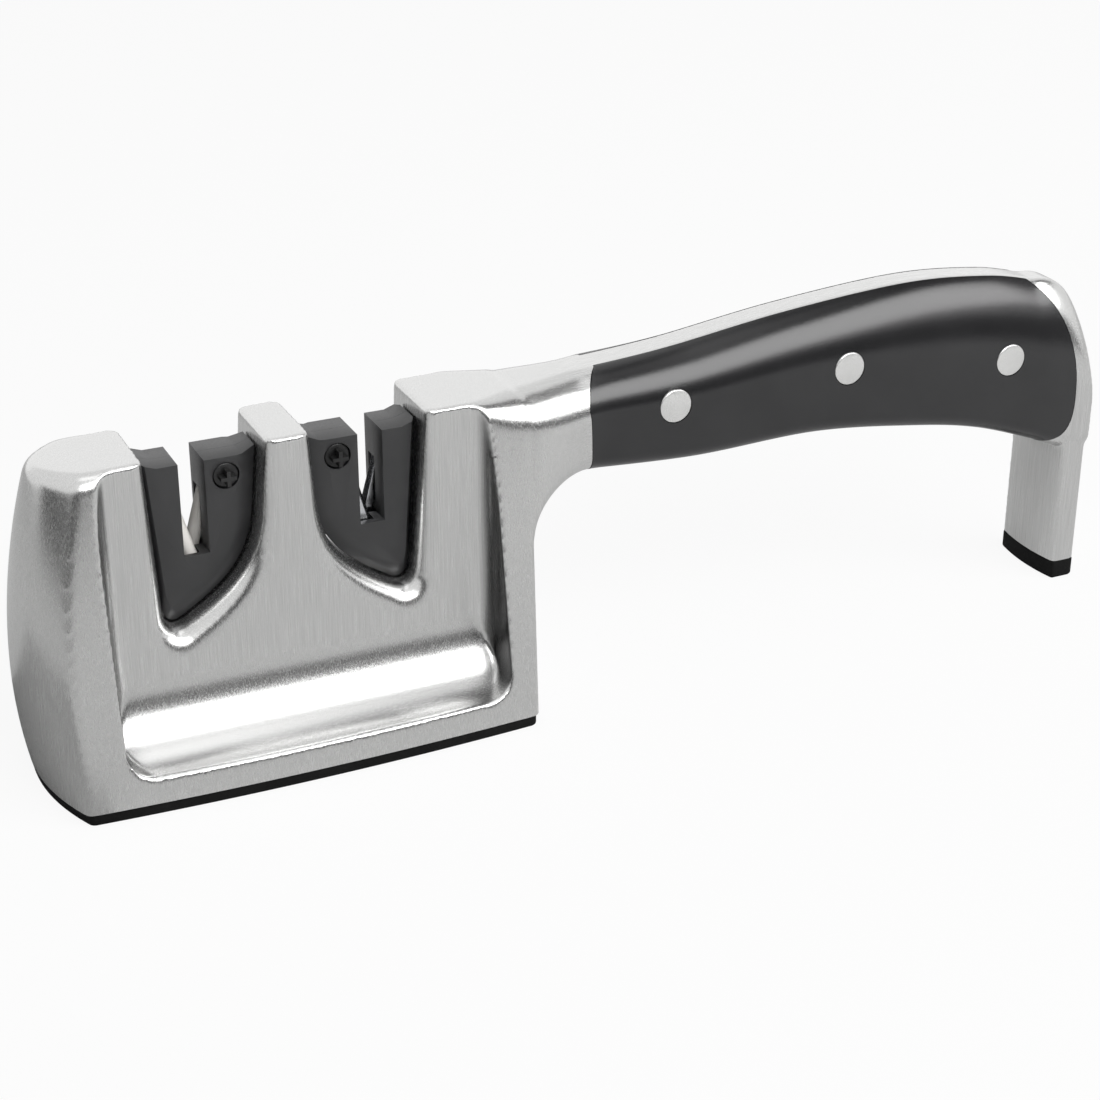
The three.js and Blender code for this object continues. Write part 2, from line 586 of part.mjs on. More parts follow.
// The clamp screw of an insert on one side of the head, from its head in front of the front cover.
function clampScrew(side, grow) {
  const length = INSERT_THICKNESS - 2 * SCREW_HEAD_HEIGHT;
  const solid = grow > 0
    ? roundBar('y', CLAMP_SCREW_HEAD + 2 * grow, 0, -CUT_OVERRUN, 0, CUT_OVERRUN + SCREW_HEAD_HEIGHT + grow)
      .add(roundBar('y', CLAMP_SCREW_SHANK + 2 * grow, 0, 0, 0, length + grow))
    : screwSolid(CLAMP_SCREW_HEAD, CLAMP_SCREW_SHANK, length).rotate([-90, 0, 0]);
  return solid.translate([side * CLAMP_SCREW_REACH, -INSERT_THICKNESS / 2, CLAMP_SCREW_Z]);
}

// The screw that holds an insert down, from its head under the roof of the hollow.
function holdScrew(side, grow) {
  const solid = grow > 0
    ? roundBar('z', HOLD_SCREW_SHANK + 2 * grow, 0, 0, 0, HOLD_SCREW_LENGTH + grow)
    : screwSolid(HOLD_SCREW_HEAD, HOLD_SCREW_SHANK, HOLD_SCREW_LENGTH);
  return solid.translate([side * NOTCH_TIP_REACH, 0, CAVITY_TOP_Z - SCREW_HEAD_HEIGHT - SEAT_GAP]);
}

// A base screw from its head in the plate, or the hole for it when it is grown by a gap.
function baseScrew([x, y], grow) {
  const solid = grow > 0
    ? roundBar('z', BASE_SCREW_HEAD + 2 * grow, 0, 0, -CUT_OVERRUN, CUT_OVERRUN + SCREW_HEAD_HEIGHT + grow)
      .add(roundBar('z', BASE_SCREW_SHANK + 2 * grow, 0, 0, 0, BASE_SCREW_LENGTH + grow))
    : screwSolid(BASE_SCREW_HEAD, BASE_SCREW_SHANK, BASE_SCREW_LENGTH);
  return solid.translate([x, y, METAL_BOTTOM_Z + SEAT_GAP]);
}

// The holes for the rivets, through the tang and both scales.
function rivetHoles() {
  return RIVET_PLACES.map(([x, z]) => (
    roundBar('y', RIVET_DIAMETER + 2 * SEAT_GAP, x, -GRIP_WIDTH, z, 2 * GRIP_WIDTH)
  ));
}

// The cast body: head, neck, tang, tail and leg in one piece.
function bodySolid(bar) {
  const recess = frontRecess();
  const notch = sideSolid(notchOutline(0), -HEAD_BASE_DEPTH, HEAD_BASE_DEPTH);
  const head = cut(headBlock(), [recess, recess.mirror([0, 1, 0])]);
  const leg = planSolid(legPlan(), LEG_BOTTOM_Z, TAIL_SHOULDER_Z);
  const hollowX = CAVITY_LENGTH / 2;
  const hollowY = CAVITY_WIDTH / 2;
  const hollow = block(-hollowX, -hollowY, 0, hollowX, hollowY, CAVITY_TOP_Z);
  const plateSeat = planSolid(basePlan(PLATE_INSET - SEAT_GAP), 0, PLATE_TOP_Z + SEAT_GAP);
  return cut(head.add(bar).add(leg), [
    notch, mirrorX(notch), hollow, plateSeat,
    ...[-1, 1].map((side) => scaleSolid(bar, side, SEAT_GAP)),
    ...[-1, 1].map((side) => holdScrew(side, SEAT_GAP)),
    ...baseScrewPlaces().map((place) => baseScrew(place, SEAT_GAP)),
    ...rivetHoles(),
  ]);
}

const bar = gripBar();
addPiece('body_casting', toGeometry(bodySolid(bar)), steel);

// Base plate, its screws and the rubber pad that covers them
const plate = planSolid(basePlan(PLATE_INSET), METAL_BOTTOM_Z, PLATE_TOP_Z);
const baseScrewHoles = baseScrewPlaces().map((place) => baseScrew(place, SEAT_GAP));
addPiece('base_plate', toGeometry(cut(plate, baseScrewHoles)), steel);
baseScrewPlaces().forEach((place, i) => {
  addPiece(`base_screw_${i + 1}`, toGeometry(baseScrew(place, 0)), polishedSteel);
});
addPiece('base_pad', toGeometry(planSolid(basePlan(PAD_INSET), 0, PAD_THICKNESS)), rubber);
addPiece('foot_pad', toGeometry(planSolid(legPlan(), 0, FOOT_THICKNESS)), rubber);

// Scales and the rivets that run through both of them and the tang
addPiece('front_scale', toGeometry(cut(scaleSolid(bar, -1, 0), rivetHoles())), scalePlastic);
addPiece('rear_scale', toGeometry(cut(scaleSolid(bar, 1, 0), rivetHoles())), scalePlastic);
['front', 'middle', 'tail'].forEach((place, i) => {
  const [x, z] = RIVET_PLACES[i];
  const rivet = roundBar('y', RIVET_DIAMETER, x, -GRIP_SIDE_Y, z, GRIP_WIDTH);
  addPiece(`rivet_${place}`, toGeometry(rivet), polishedSteel);
});

// The two stages: the fine one at the free end, the coarse one next to the neck
const stages = [
  { name: 'fine', side: -1, part: 'rod', width: ROD_DIAMETER, depth: ROD_DIAMETER, finish: ceramic },
  { name: 'coarse', side: 1, part: 'blade', width: BLADE_WIDTH, depth: BLADE_THICKNESS, finish: carbide },
];
stages.forEach(({ name, side, part, width, depth, finish }) => {
  const stageX = side * SLOT_REACH;
  const insert = side > 0 ? insertOutline() : mirrorX(insertOutline());
  const holes = [clampScrew(side, SEAT_GAP), holdScrew(side, SEAT_GAP)];
  [-1, 1].forEach((face) => {
    const word = face < 0 ? 'front' : 'rear';
    const y0 = face < 0 ? -SLAB_REACH : SEAT_GAP / 2;
    const y1 = face < 0 ? -SEAT_GAP / 2 : SLAB_REACH;
    const half = insert.intersect(block(-SLAB_REACH, y0, -SLAB_REACH, SLAB_REACH, y1, SLAB_REACH));
    const groove = abrasiveGroove(width, depth, stageX, face);
    addPiece(`${name}_${word}_cover`, toGeometry(cut(half, [groove, ...holes])), blackPlastic);
    const raw = part === 'rod'
      ? new THREE.CylinderGeometry(width / 2, width / 2, ABRASIVE_LENGTH, ROUND_SIDES).rotateX(Math.PI / 2)
      : new THREE.BoxGeometry(width, depth, ABRASIVE_LENGTH);
    addPiece(`${name}_${word}_${part}`, placeAbrasive(raw, width, stageX, face), finish);
  });
  addPiece(`${name}_clamp_screw`, toGeometry(clampScrew(side, 0)), blackSteel);
  addPiece(`${name}_hold_screw`, toGeometry(holdScrew(side, 0)), polishedSteel);
});

export default model;
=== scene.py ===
"""Dresses a two-stage knife sharpener: cast body, riveted grip, guide inserts, rubber feet and a studio."""
import logging
import math
from dataclasses import dataclass, field
from enum import Enum
from typing import Callable, Iterable, Sequence

import bpy
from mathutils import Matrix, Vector


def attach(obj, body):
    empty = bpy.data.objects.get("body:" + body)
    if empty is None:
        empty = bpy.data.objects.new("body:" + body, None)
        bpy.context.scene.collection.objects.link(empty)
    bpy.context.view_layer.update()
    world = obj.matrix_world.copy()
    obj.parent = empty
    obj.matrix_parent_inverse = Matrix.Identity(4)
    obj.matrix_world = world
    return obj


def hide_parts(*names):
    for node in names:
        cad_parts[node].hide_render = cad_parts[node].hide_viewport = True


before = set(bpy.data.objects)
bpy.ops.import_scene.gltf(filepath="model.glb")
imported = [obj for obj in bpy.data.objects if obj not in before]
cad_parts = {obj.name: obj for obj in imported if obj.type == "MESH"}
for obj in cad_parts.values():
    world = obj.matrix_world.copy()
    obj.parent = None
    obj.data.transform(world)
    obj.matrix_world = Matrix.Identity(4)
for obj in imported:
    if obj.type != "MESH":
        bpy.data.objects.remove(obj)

LOG = logging.getLogger("knife_sharpener")
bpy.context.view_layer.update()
ROOT = "root"

# Sizes are given in millimetres and turned into metres where a mesh is made.
MM = 0.001
# How far a cutting solid runs past the face that it opens, and the gap between pieces that fit.
OVERRUN = 2.0
HAIRLINE = 0.12
# How finely places are searched for and outlines are drawn.
SEARCH_STEPS = 40
ARC_STEPS = 14
CURVE_STEPS = 24
CORNER_STEPS = 10
SIDE_STEPS = 40
ROUNDING_STEPS = 3
# Where the values of a noise lie for roughness and for colour, and how many grains a cloud of colour spans.
NOISE_SPREAD = (0.25, 0.75)
TINT_SPREAD = (0.3, 0.7)
GRAINS_IN_CLOUD = 40
# Painted shade: how open a hollow is, how far a wall faces along X, and how softly the wall shade starts and ends.
CORNER_SHADE_SPREAD = (0.4, 0.85)
WALL_SHADE_SPREAD = (0.5, 0.9)
WALL_SHADE_FADE_IN = 2.0
WALL_SHADE_FADE_OUT = 0.5

Point = tuple[float, float, float]
Flat = tuple[float, float]
Solid = bpy.types.Object
Socket = bpy.types.NodeSocket


class Axis(Enum):
    """The direction that a flat outline is given its thickness in."""

    X = "x"
    Y = "y"
    Z = "z"


class Join(Enum):
    """What one solid does to another."""

    CUT = "DIFFERENCE"
    ADD = "UNION"
    TRIM = "INTERSECT"


class Side(Enum):
    """Front or rear of the object, as the sign of Y."""

    FRONT = -1
    REAR = 1


def blend(start: float, end: float, share: float) -> float:
    """Returns the value that lies a share of the way from start to end."""
    return start + (end - start) * share


def limit(value: float, low: float = 0.0, high: float = 1.0) -> float:
    """Returns the value, held between low and high."""
    return max(low, min(high, value))


def smooth_share(value: float, start: float, end: float) -> float:
    """Returns how far a value has come from start to end, easing in and out."""
    share = limit((value - start) / (end - start))
    return share * share * (3 - 2 * share)


def levels(start: float, end: float, steps: int) -> list[float]:
    """Returns evenly spaced values from start up to but without end."""
    return [blend(start, end, i / steps) for i in range(steps)]


def line_points(start: Flat, end: Flat, steps: int) -> list[Flat]:
    """Points along a straight stretch of an outline.

    Args:
        start: First point.
        end: Last point, which is left to the next stretch.
        steps: How many points are given.

    Returns:
        The points from start up to but without end.
    """
    return list(zip(levels(start[0], end[0], steps), levels(start[1], end[1], steps)))


def curve_points(handles: Sequence[Flat], steps: int = CURVE_STEPS) -> list[Flat]:
    """Points along a Bezier stretch of an outline.

    Args:
        handles: Three or four control points, the ends among them.
        steps: How many points are given.

    Returns:
        The points from the first handle up to but without the last.
    """
    return [curve_at(handles, share) for share in levels(0, 1, steps)]


def curve_at(handles: Sequence[Flat], share: float) -> Flat:
    """A point of a Bezier stretch.

    Args:
        handles: The stretch's control points, the ends among them.
        share: Share of its run.

    Returns:
        The point there.
    """
    level = list(handles)
    while len(level) > 1:
        level = [(blend(a[0], b[0], share), blend(a[1], b[1], share)) for a, b in zip(level, level[1:])]
    return level[0]


def share_past(handles: Sequence[Flat], distance: float) -> float:
    """Where a Bezier stretch has led a distance away from its start.

    Args:
        handles: The stretch's control points, the ends among them.
        distance: The distance.

    Returns:
        The share of its run.
    """
    low, high = 0.0, 0.5
    for _ in range(SEARCH_STEPS):
        middle = (low + high) / 2
        if math.dist(curve_at(handles, middle), handles[0]) < distance:
            low = middle
        else:
            high = middle
    return low


def arc_points(centre: Flat, radius: float, start: float, end: float, steps: int = ARC_STEPS) -> list[Flat]:
    """Points along an arc of an outline.

    Args:
        centre: Middle of the arc.
        radius: Radius of the arc.
        start: First angle in degrees.
        end: Last angle in degrees.
        steps: How many steps the arc has.

    Returns:
        The points of the arc, both ends among them.
    """
    angles = [math.radians(angle) for angle in levels(start, end, steps) + [end]]
    return [(centre[0] + radius * math.cos(a), centre[1] + radius * math.sin(a)) for a in angles]


def height_on(points: Sequence[Flat], x: float) -> float:
    """Height of a smooth curve through points at a place along X.

    Args:
        points: Places and heights that the curve runs through.
        x: The place.

    Returns:
        The curve's height there.
    """
    spans = len(points) - 1
    low, high = 0.0, float(spans)
    for _ in range(SEARCH_STEPS):
        middle = (low + high) / 2
        if curve_through(points, middle)[0] < x:
            low = middle
        else:
            high = middle
    return curve_through(points, low)[1]


def curve_through(points: Sequence[Flat], along: float) -> Flat:
    """A point of the smooth curve through points.

    Args:
        points: Points that the curve runs through.
        along: Distance along the curve, counted in points.

    Returns:
        The curve's point.
    """
    last = len(points) - 1
    i = min(int(along), last - 1)
    t = along - i
    p0, p1, p2, p3 = points[max(i - 1, 0)], points[i], points[i + 1], points[min(i + 2, last)]
    result = []
    for a, b, c, d in zip(p0, p1, p2, p3):
        leave, arrive = (c - a) / 2, (d - b) / 2
        cubic = 2 * b - 2 * c + leave + arrive
        square = 3 * c - 3 * b - 2 * leave - arrive
        result.append(((cubic * t + square) * t + leave) * t + b)
    return result[0], result[1]


def deselect_all() -> None:
    """Leaves edit mode and deselects every object."""
    if bpy.context.object and bpy.context.object.mode != "OBJECT":
        bpy.ops.object.mode_set(mode="OBJECT")
    bpy.ops.object.select_all(action="DESELECT")


def pick(piece: Solid) -> Solid:
    """Makes one object the only selected and the active one.

    Args:
        piece: The object.

    Returns:
        The same object.
    """
    deselect_all()
    piece.select_set(True)
    bpy.context.view_layer.objects.active = piece
    return piece


def settle(name: str) -> Solid:
    """Names the active object and puts its place into its mesh.

    Args:
        name: The new name.

    Returns:
        The active object.
    """
    piece = bpy.context.active_object
    piece.name = name
    piece.data.name = name
    return settle_place(piece)


def settle_place(piece: Solid) -> Solid:
    """Puts an object's place and turn into its mesh.

    Args:
        piece: The object.

    Returns:
        The same object.
    """
    pick(piece)
    bpy.ops.object.transform_apply(location=True, rotation=True, scale=True)
    return piece


def turn_askew(piece: Solid, angle: float) -> None:
    """Turns a mesh about the space diagonal, so that no long edge lies along a grid.

    Args:
        piece: The object with the mesh.
        angle: The angle in degrees.
    """
    piece.rotation_mode = "AXIS_ANGLE"
    piece.rotation_axis_angle = (math.radians(angle), *Vector((1, 1, 1)).normalized())
    settle_place(piece)
    piece.rotation_mode = "XYZ"


def loft(name: str, rings: Sequence[Sequence[Point]]) -> Solid:
    """Bridges rings of points into a closed solid.

    Args:
        name: Name of the new object.
        rings: Rings with equally many points, in order along the solid.

    Returns:
        The solid.
    """
    deselect_all()
    count = len(rings[0])
    bpy.ops.mesh.primitive_circle_add(vertices=count, radius=MM)
    piece = settle(name)
    bpy.ops.object.mode_set(mode="EDIT")
    for _ in rings[1:]:
        bpy.ops.mesh.primitive_circle_add(vertices=count, radius=MM)
    bpy.ops.object.mode_set(mode="OBJECT")
    places = [value * MM for ring in rings for point in ring for value in point]
    piece.data.vertices.foreach_set("co", places)
    bpy.ops.object.mode_set(mode="EDIT")
    bpy.ops.mesh.select_all(action="SELECT")
    bpy.ops.mesh.bridge_edge_loops()
    bpy.ops.mesh.select_all(action="SELECT")
    bpy.ops.mesh.fill_holes(sides=0)
    bpy.ops.mesh.select_all(action="SELECT")
    bpy.ops.mesh.normals_make_consistent(inside=False)
    bpy.ops.object.mode_set(mode="OBJECT")
    return piece


def place(axis: Axis, point: Flat, level: float) -> Point:
    """Puts a point of a flat outline at a level of the axis across it.

    Args:
        axis: The axis across the outline.
        point: The outline's point.
        level: The level on the axis.

    Returns:
        The point in space.
    """
    if axis is Axis.X:
        return level, point[0], point[1]
    if axis is Axis.Y:
        return point[0], level, point[1]
    return point[0], point[1], level


def prism(name: str, outline: Sequence[Flat], axis: Axis, start: float, end: float) -> Solid:
    """A flat outline with a thickness.

    Args:
        name: Name of the new object.
        outline: Points of the outline, in the two directions across the axis.
        axis: Direction of the thickness.
        start: Where the solid starts on the axis.
        end: Where the solid ends on the axis.

    Returns:
        The solid.
    """
    return loft(name, [[place(axis, point, level) for point in outline] for level in (start, end)])


def box_solid(name: str, low: Point, high: Point) -> Solid:
    """A block between two corners.

    Args:
        name: Name of the new object.
        low: Lowest corner.
        high: Highest corner.

    Returns:
        The solid.
    """
    deselect_all()
    middle = [(a + b) / 2 * MM for a, b in zip(low, high)]
    bpy.ops.mesh.primitive_cube_add(size=1, location=middle)
    bpy.context.active_object.scale = [(b - a) * MM for a, b in zip(low, high)]
    return settle(name)


def round_bar(name: str, axis: Axis, radius: float, start: Point, length: float, sides: int = 48) -> Solid:
    """A round bar along Y or Z.

    Args:
        name: Name of the new object.
        axis: Direction of the bar.
        radius: Radius of the bar.
        start: Middle of its first end.
        length: Length of the bar.
        sides: How many sides it has.

    Returns:
        The solid.
    """
    deselect_all()
    middle = list(start)
    middle[1 if axis is Axis.Y else 2] += length / 2
    turn = (math.pi / 2, 0, 0) if axis is Axis.Y else (0, 0, 0)
    bpy.ops.mesh.primitive_cylinder_add(
        vertices=sides, radius=radius * MM, depth=length * MM,
        location=[value * MM for value in middle], rotation=turn,
    )
    return settle(name)


def modify(piece: Solid, kind: str, **settings: object) -> Solid:
    """Adds a modifier to a piece and applies it.

    Args:
        piece: The piece.
        kind: Blender's name of the modifier.
        **settings: The modifier's settings.

    Returns:
        The same piece.
    """
    pick(piece)
    modifier = piece.modifiers.new(kind.lower(), kind)
    for key, value in settings.items():
        setattr(modifier, key, value)
    bpy.ops.object.modifier_apply(modifier=modifier.name)
    return piece


def combine(piece: Solid, tools: Iterable[Solid], how: Join) -> Solid:
    """Cuts, joins or trims a piece with other solids, which are used up.

    Args:
        piece: The piece.
        tools: The other solids.
        how: What they do to the piece.

    Returns:
        The same piece.
    """
    for tool in tools:
        modify(piece, "BOOLEAN", operation=how.value, solver="EXACT", object=tool)
        bpy.data.objects.remove(tool, do_unlink=True)
    return piece


def shade(piece: Solid, angle: float) -> Solid:
    """Shades a piece smooth and keeps its sharp edges crisp.

    Args:
        piece: The piece.
        angle: The angle in degrees from which an edge is sharp.

    Returns:
        The same piece.
    """
    pick(piece)
    bpy.ops.object.shade_smooth_by_angle(angle=math.radians(angle))
    return piece


def round_edges(piece: Solid, reach: float) -> Solid:
    """Rounds every edge of a piece.

    Args:
        piece: The piece.
        reach: How far the rounding reaches from an edge.

    Returns:
        The same piece.
    """
    pick(piece)
    bpy.ops.object.mode_set(mode="EDIT")
    bpy.ops.mesh.select_all(action="SELECT")
    bpy.ops.mesh.bevel(offset=reach * MM, segments=ROUNDING_STEPS)
    bpy.ops.object.mode_set(mode="OBJECT")
    return piece


def round_corners(piece: Solid, reach: float, segments: int, angle: float) -> Solid:
    """Rounds the edges of a piece that are sharper than an angle.

    Args:
        piece: The piece.
        reach: How far the rounding reaches from an edge.
        segments: How many faces round an edge.
        angle: The angle in degrees.

    Returns:
        The same piece.
    """
    return modify(piece, "BEVEL", width=reach * MM, segments=segments, limit_method="ANGLE",
                  angle_limit=math.radians(angle))


def flip_x(points: Iterable[Flat], side: int) -> list[Flat]:
    """Returns an outline of the +X side, mirrored where side is negative."""
    return [(x * side, z) for x, z in points]


class Nodes:
    """A material's node tree, with short ways to add and join nodes."""

    def __init__(self, name: str) -> None:
        """Starts an empty material with a Principled shader.

        Args:
            name: Name of the material.
        """
        self.material = bpy.data.materials.new(name)
        self.material.use_nodes = True
        self.tree = self.material.node_tree
        self.shader = self.tree.nodes["Principled BSDF"]
        self.object_place = self.tree.nodes.new("ShaderNodeTexCoord").outputs["Object"]

    def add(self, kind: str, **settings: object) -> bpy.types.Node:
        """Adds a node.

        Args:
            kind: Blender's name of the node.
            **settings: Properties of the node.

        Returns:
            The node.
        """
        node = self.tree.nodes.new(kind)
        for key, value in settings.items():
            setattr(node, key, value)
        return node

    def link(self, start: Socket, end: Socket) -> None:
        """Joins two sockets."""
        self.tree.links.new(start, end)

    def noise(self, stretch: Point, detail: float = 3.0) -> Socket:
        """A noise on the object's own coordinates.

        Args:
            stretch: How many grains there are in a metre of X, Y and Z.
            detail: How much finer detail it has.

        Returns:
            The noise's value.
        """
        mapping = self.add("ShaderNodeMapping")
        mapping.inputs["Scale"].default_value = stretch
        self.link(self.object_place, mapping.inputs["Vector"])
        noise = self.add("ShaderNodeTexNoise")
        noise.inputs["Scale"].default_value = 1.0
        noise.inputs["Detail"].default_value = detail
        self.link(mapping.outputs["Vector"], noise.inputs["Vector"])
        return noise.outputs["Fac"]

    def span(self, value: Socket, low: float, high: float) -> Socket:
        """Returns a noise's value, spread from low to high."""
        return self.remap(value, NOISE_SPREAD, (low, high))

    def tint(self, value: Socket, dark: Point, light: Point) -> None:
        """Colours the surface between two tones by a value.

        Args:
            value: What chooses the tone.
            dark: Tone at low values.
            light: Tone at high values.
        """
        ramp = self.add("ShaderNodeValToRGB")
        for element, place_on, tone in zip(ramp.color_ramp.elements, TINT_SPREAD, (dark, light)):
            element.position = place_on
            element.color = (*tone, 1)
        self.link(value, ramp.inputs["Fac"])
        self.link(ramp.outputs["Color"], self.shader.inputs["Base Color"])

    def remap(self, value: Socket, spread: Flat, result: Flat = (0.0, 1.0)) -> Socket:
        """Maps a value from one range to another.

        Args:
            value: The value.
            spread: The range it comes in.
            result: The range it goes out in.

        Returns:
            The mapped value, held within its range.
        """
        node = self.add("ShaderNodeMapRange")
        for name, number in zip(("From Min", "From Max", "To Min", "To Max"), spread + result):
            node.inputs[name].default_value = number
        self.link(value, node.inputs["Value"])
        return node.outputs["Result"]

    def calculate(self, operation: str, first: Socket, second: "Socket | float" = 0.0) -> Socket:
        """Joins two values by a sum, product or other operation.

        Args:
            operation: Name of the operation.
            first: First value.
            second: Second value or number.

        Returns:
            The result.
        """
        node = self.add("ShaderNodeMath", operation=operation)
        self.link(first, node.inputs[0])
        if isinstance(second, (int, float)):
            node.inputs[1].default_value = second
        else:
            self.link(second, node.inputs[1])
        return node.outputs["Value"]

    def painted_corner_shade(self, reach: float, tone: float) -> Socket:
        """How light the metal is in hollow corners, which ambient occlusion darkens as painted shade.

        Args:
            reach: How far a corner's darkness reaches, in millimetres.
            tone: Share of the colour that is left in the deepest corner.

        Returns:
            A share of the colour.
        """
        hollow = self.add("ShaderNodeAmbientOcclusion", samples=12, only_local=True)
        hollow.inputs["Distance"].default_value = reach * MM
        return self.remap(hollow.outputs["AO"], CORNER_SHADE_SPREAD, (tone, 1.0))

    def walls(self, middle: float, reach: Flat, tone: float) -> Socket:
        """How light the metal is on the end walls of the two recesses, which are darkened as painted shade.

        Args:
            middle: Middle of the recesses on X, in millimetres.
            reach: Distances from that middle between which the walls lie.
            tone: Share of the colour that is left on the walls.

        Returns:
            A share of the colour.
        """
        split = self.add("ShaderNodeSeparateXYZ")
        self.link(self.object_place, split.inputs["Vector"])
        away = self.calculate("ABSOLUTE", self.calculate("SUBTRACT", split.outputs["X"], middle * MM))
        inside = self.remap(away, (reach[0] * MM, (reach[0] + WALL_SHADE_FADE_IN) * MM))
        outside = self.remap(away, ((reach[1] - WALL_SHADE_FADE_OUT) * MM, reach[1] * MM), (1.0, 0.0))
        face = self.add("ShaderNodeSeparateXYZ")
        self.link(self.add("ShaderNodeNewGeometry").outputs["Normal"], face.inputs["Vector"])
        turned = self.remap(self.calculate("ABSOLUTE", face.outputs["X"]), WALL_SHADE_SPREAD)
        mask = self.calculate("MULTIPLY", self.calculate("MULTIPLY", inside, outside), turned)
        return self.remap(mask, (0.0, 1.0), (1.0, tone))

    def darken(self, share: Socket) -> None:
        """Scales the colour.

        Args:
            share: The share of the colour that is left.
        """
        colour = self.shader.inputs["Base Color"]
        scale = self.add("ShaderNodeVectorMath", operation="SCALE")
        self.link(colour.links[0].from_socket, scale.inputs["Vector"])
        self.link(share, scale.inputs["Scale"])
        self.link(scale.outputs["Vector"], colour)

    def bump(self, value: Socket, strength: float, depth: float) -> None:
        """Gives the surface a fine relief.

        Args:
            value: Height of the relief.
            strength: Strength of the relief.
            depth: Depth of the relief in millimetres.
        """
        node = self.add("ShaderNodeBump")
        node.inputs["Strength"].default_value = strength
        node.inputs["Distance"].default_value = depth * MM
        self.link(value, node.inputs["Height"])
        self.link(node.outputs["Normal"], self.shader.inputs["Normal"])


@dataclass(frozen=True)
class BrushedMetal:
    """Metal with fine brushing lines: upright on the head, lengthwise on the grip; where set, painted shade darkens
    hollow corners and recess end walls.
    """

    name: str
    dark: Point
    light: Point
    smooth: float
    rough: float
    line_width: float = 0.16
    line_length: float = 9.0
    relief: float = 0.05
    turn_start: float = 46.0
    turn_end: float = 58.0
    leg_start: float = 160.0
    leg_end: float = 165.0
    # Painted shade: reach and tone of the darkening in hollow corners, and tone, middle and reach of the darkened
    # recess end walls.
    corner_shade_reach: float = 0.0
    corner_shade_tone: float = 0.3
    wall_shade_tone: float = 1.0
    wall_shade_middle: float = 1.0
    wall_shade_reach: Flat = (31.0, 38.0)

    def material(self) -> bpy.types.Material:
        """Makes the finish.

        Returns:
            The finish as a material.
        """
        nodes = Nodes(self.name)
        across, along = 1 / (self.line_width * MM), 1 / (self.line_length * MM)
        upright = nodes.noise((across, across, along))
        lengthwise = nodes.noise((along, across, across))
        split = nodes.add("ShaderNodeSeparateXYZ")
        nodes.link(nodes.object_place, split.inputs["Vector"])
        turn = nodes.remap(split.outputs["X"], (self.turn_start * MM, self.turn_end * MM))
        leg = nodes.remap(split.outputs["X"], (self.leg_start * MM, self.leg_end * MM), (1.0, 0.0))
        mix = nodes.add("ShaderNodeMix")
        nodes.link(nodes.calculate("MULTIPLY", turn, leg), mix.inputs["Factor"])
        nodes.link(upright, mix.inputs["A"])
        nodes.link(lengthwise, mix.inputs["B"])
        lines = mix.outputs["Result"]
        nodes.tint(lines, self.dark, self.light)
        # Painted shade: the colour is darkened in hollow corners by ambient occlusion and on the recesses' end walls.
        if self.corner_shade_reach:
            nodes.darken(nodes.painted_corner_shade(self.corner_shade_reach, self.corner_shade_tone))
            nodes.darken(nodes.walls(self.wall_shade_middle, self.wall_shade_reach, self.wall_shade_tone))
        nodes.link(nodes.span(lines, self.smooth, self.rough), nodes.shader.inputs["Roughness"])
        nodes.bump(lines, self.relief, self.line_width)
        nodes.shader.inputs["Metallic"].default_value = 1.0
        return nodes.material


@dataclass(frozen=True)
class GrainedFinish:
    """A plain finish with a fine grain, such as moulded plastic, rubber, ceramic or turned steel."""

    name: str
    dark: Point
    light: Point
    smooth: float
    rough: float
    grain: float
    relief: float
    metallic: float = 0.0
    specular: float = 0.5

    def material(self) -> bpy.types.Material:
        """Makes the finish.

        Returns:
            The finish as a material.
        """
        nodes = Nodes(self.name)
        fine = 1 / (self.grain * MM)
        grains = nodes.noise((fine, fine, fine), detail=4.0)
        cloud = fine / GRAINS_IN_CLOUD
        clouds = nodes.noise((cloud, cloud, cloud), detail=2.0)
        nodes.tint(clouds, self.dark, self.light)
        nodes.link(nodes.span(grains, self.smooth, self.rough), nodes.shader.inputs["Roughness"])
        nodes.bump(grains, self.relief, self.grain)
        nodes.shader.inputs["Metallic"].default_value = self.metallic
        nodes.shader.inputs["Specular IOR Level"].default_value = self.specular
        return nodes.material


class Finish(Enum):
    """The finishes of the object, by the slots that take them."""

    # The body's steel carries painted shade in its hollow corners and on the recesses' end walls.
    BRUSHED_STEEL = BrushedMetal(
        "brushed_steel", (0.56, 0.56, 0.555), (0.68, 0.68, 0.675), 0.2, 0.3, corner_shade_reach=6.0, corner_shade_tone=0.3,
        wall_shade_tone=0.16,
    )
    PLAIN_STEEL = GrainedFinish("plain_steel", (0.5, 0.5, 0.5), (0.6, 0.6, 0.6), 0.3, 0.45, 0.3, 0.05, 1.0)
    RIVET_STEEL = GrainedFinish("rivet_steel", (0.74, 0.74, 0.73), (0.82, 0.82, 0.81), 0.22, 0.34, 0.12, 0.04, 1.0)
    GRIP_BLACK = GrainedFinish(
        "grip_black", (0.01, 0.01, 0.011), (0.015, 0.015, 0.016), 0.18, 0.28, 0.25, 0.04, specular=0.6,
    )
    INSERT_BLACK = GrainedFinish(
        "insert_black", (0.008, 0.008, 0.009), (0.014, 0.014, 0.015), 0.34, 0.48, 0.2, 0.1, specular=0.8,
    )
    RUBBER = GrainedFinish(
        "rubber", (0.004, 0.004, 0.004), (0.007, 0.007, 0.007), 0.7, 0.9, 0.3, 0.25, specular=0.15,
    )
    CERAMIC = GrainedFinish("ceramic", (0.72, 0.7, 0.66), (0.82, 0.8, 0.77), 0.42, 0.58, 0.15, 0.08)
    CARBIDE = BrushedMetal("carbide", (0.55, 0.56, 0.58), (0.72, 0.73, 0.75), 0.18, 0.3, 0.08, 4.0, 0.04)
    BLACK_SCREW = GrainedFinish("black_screw", (0.02, 0.02, 0.02), (0.045, 0.045, 0.045), 0.28, 0.42, 0.15, 0.08, 0.6)


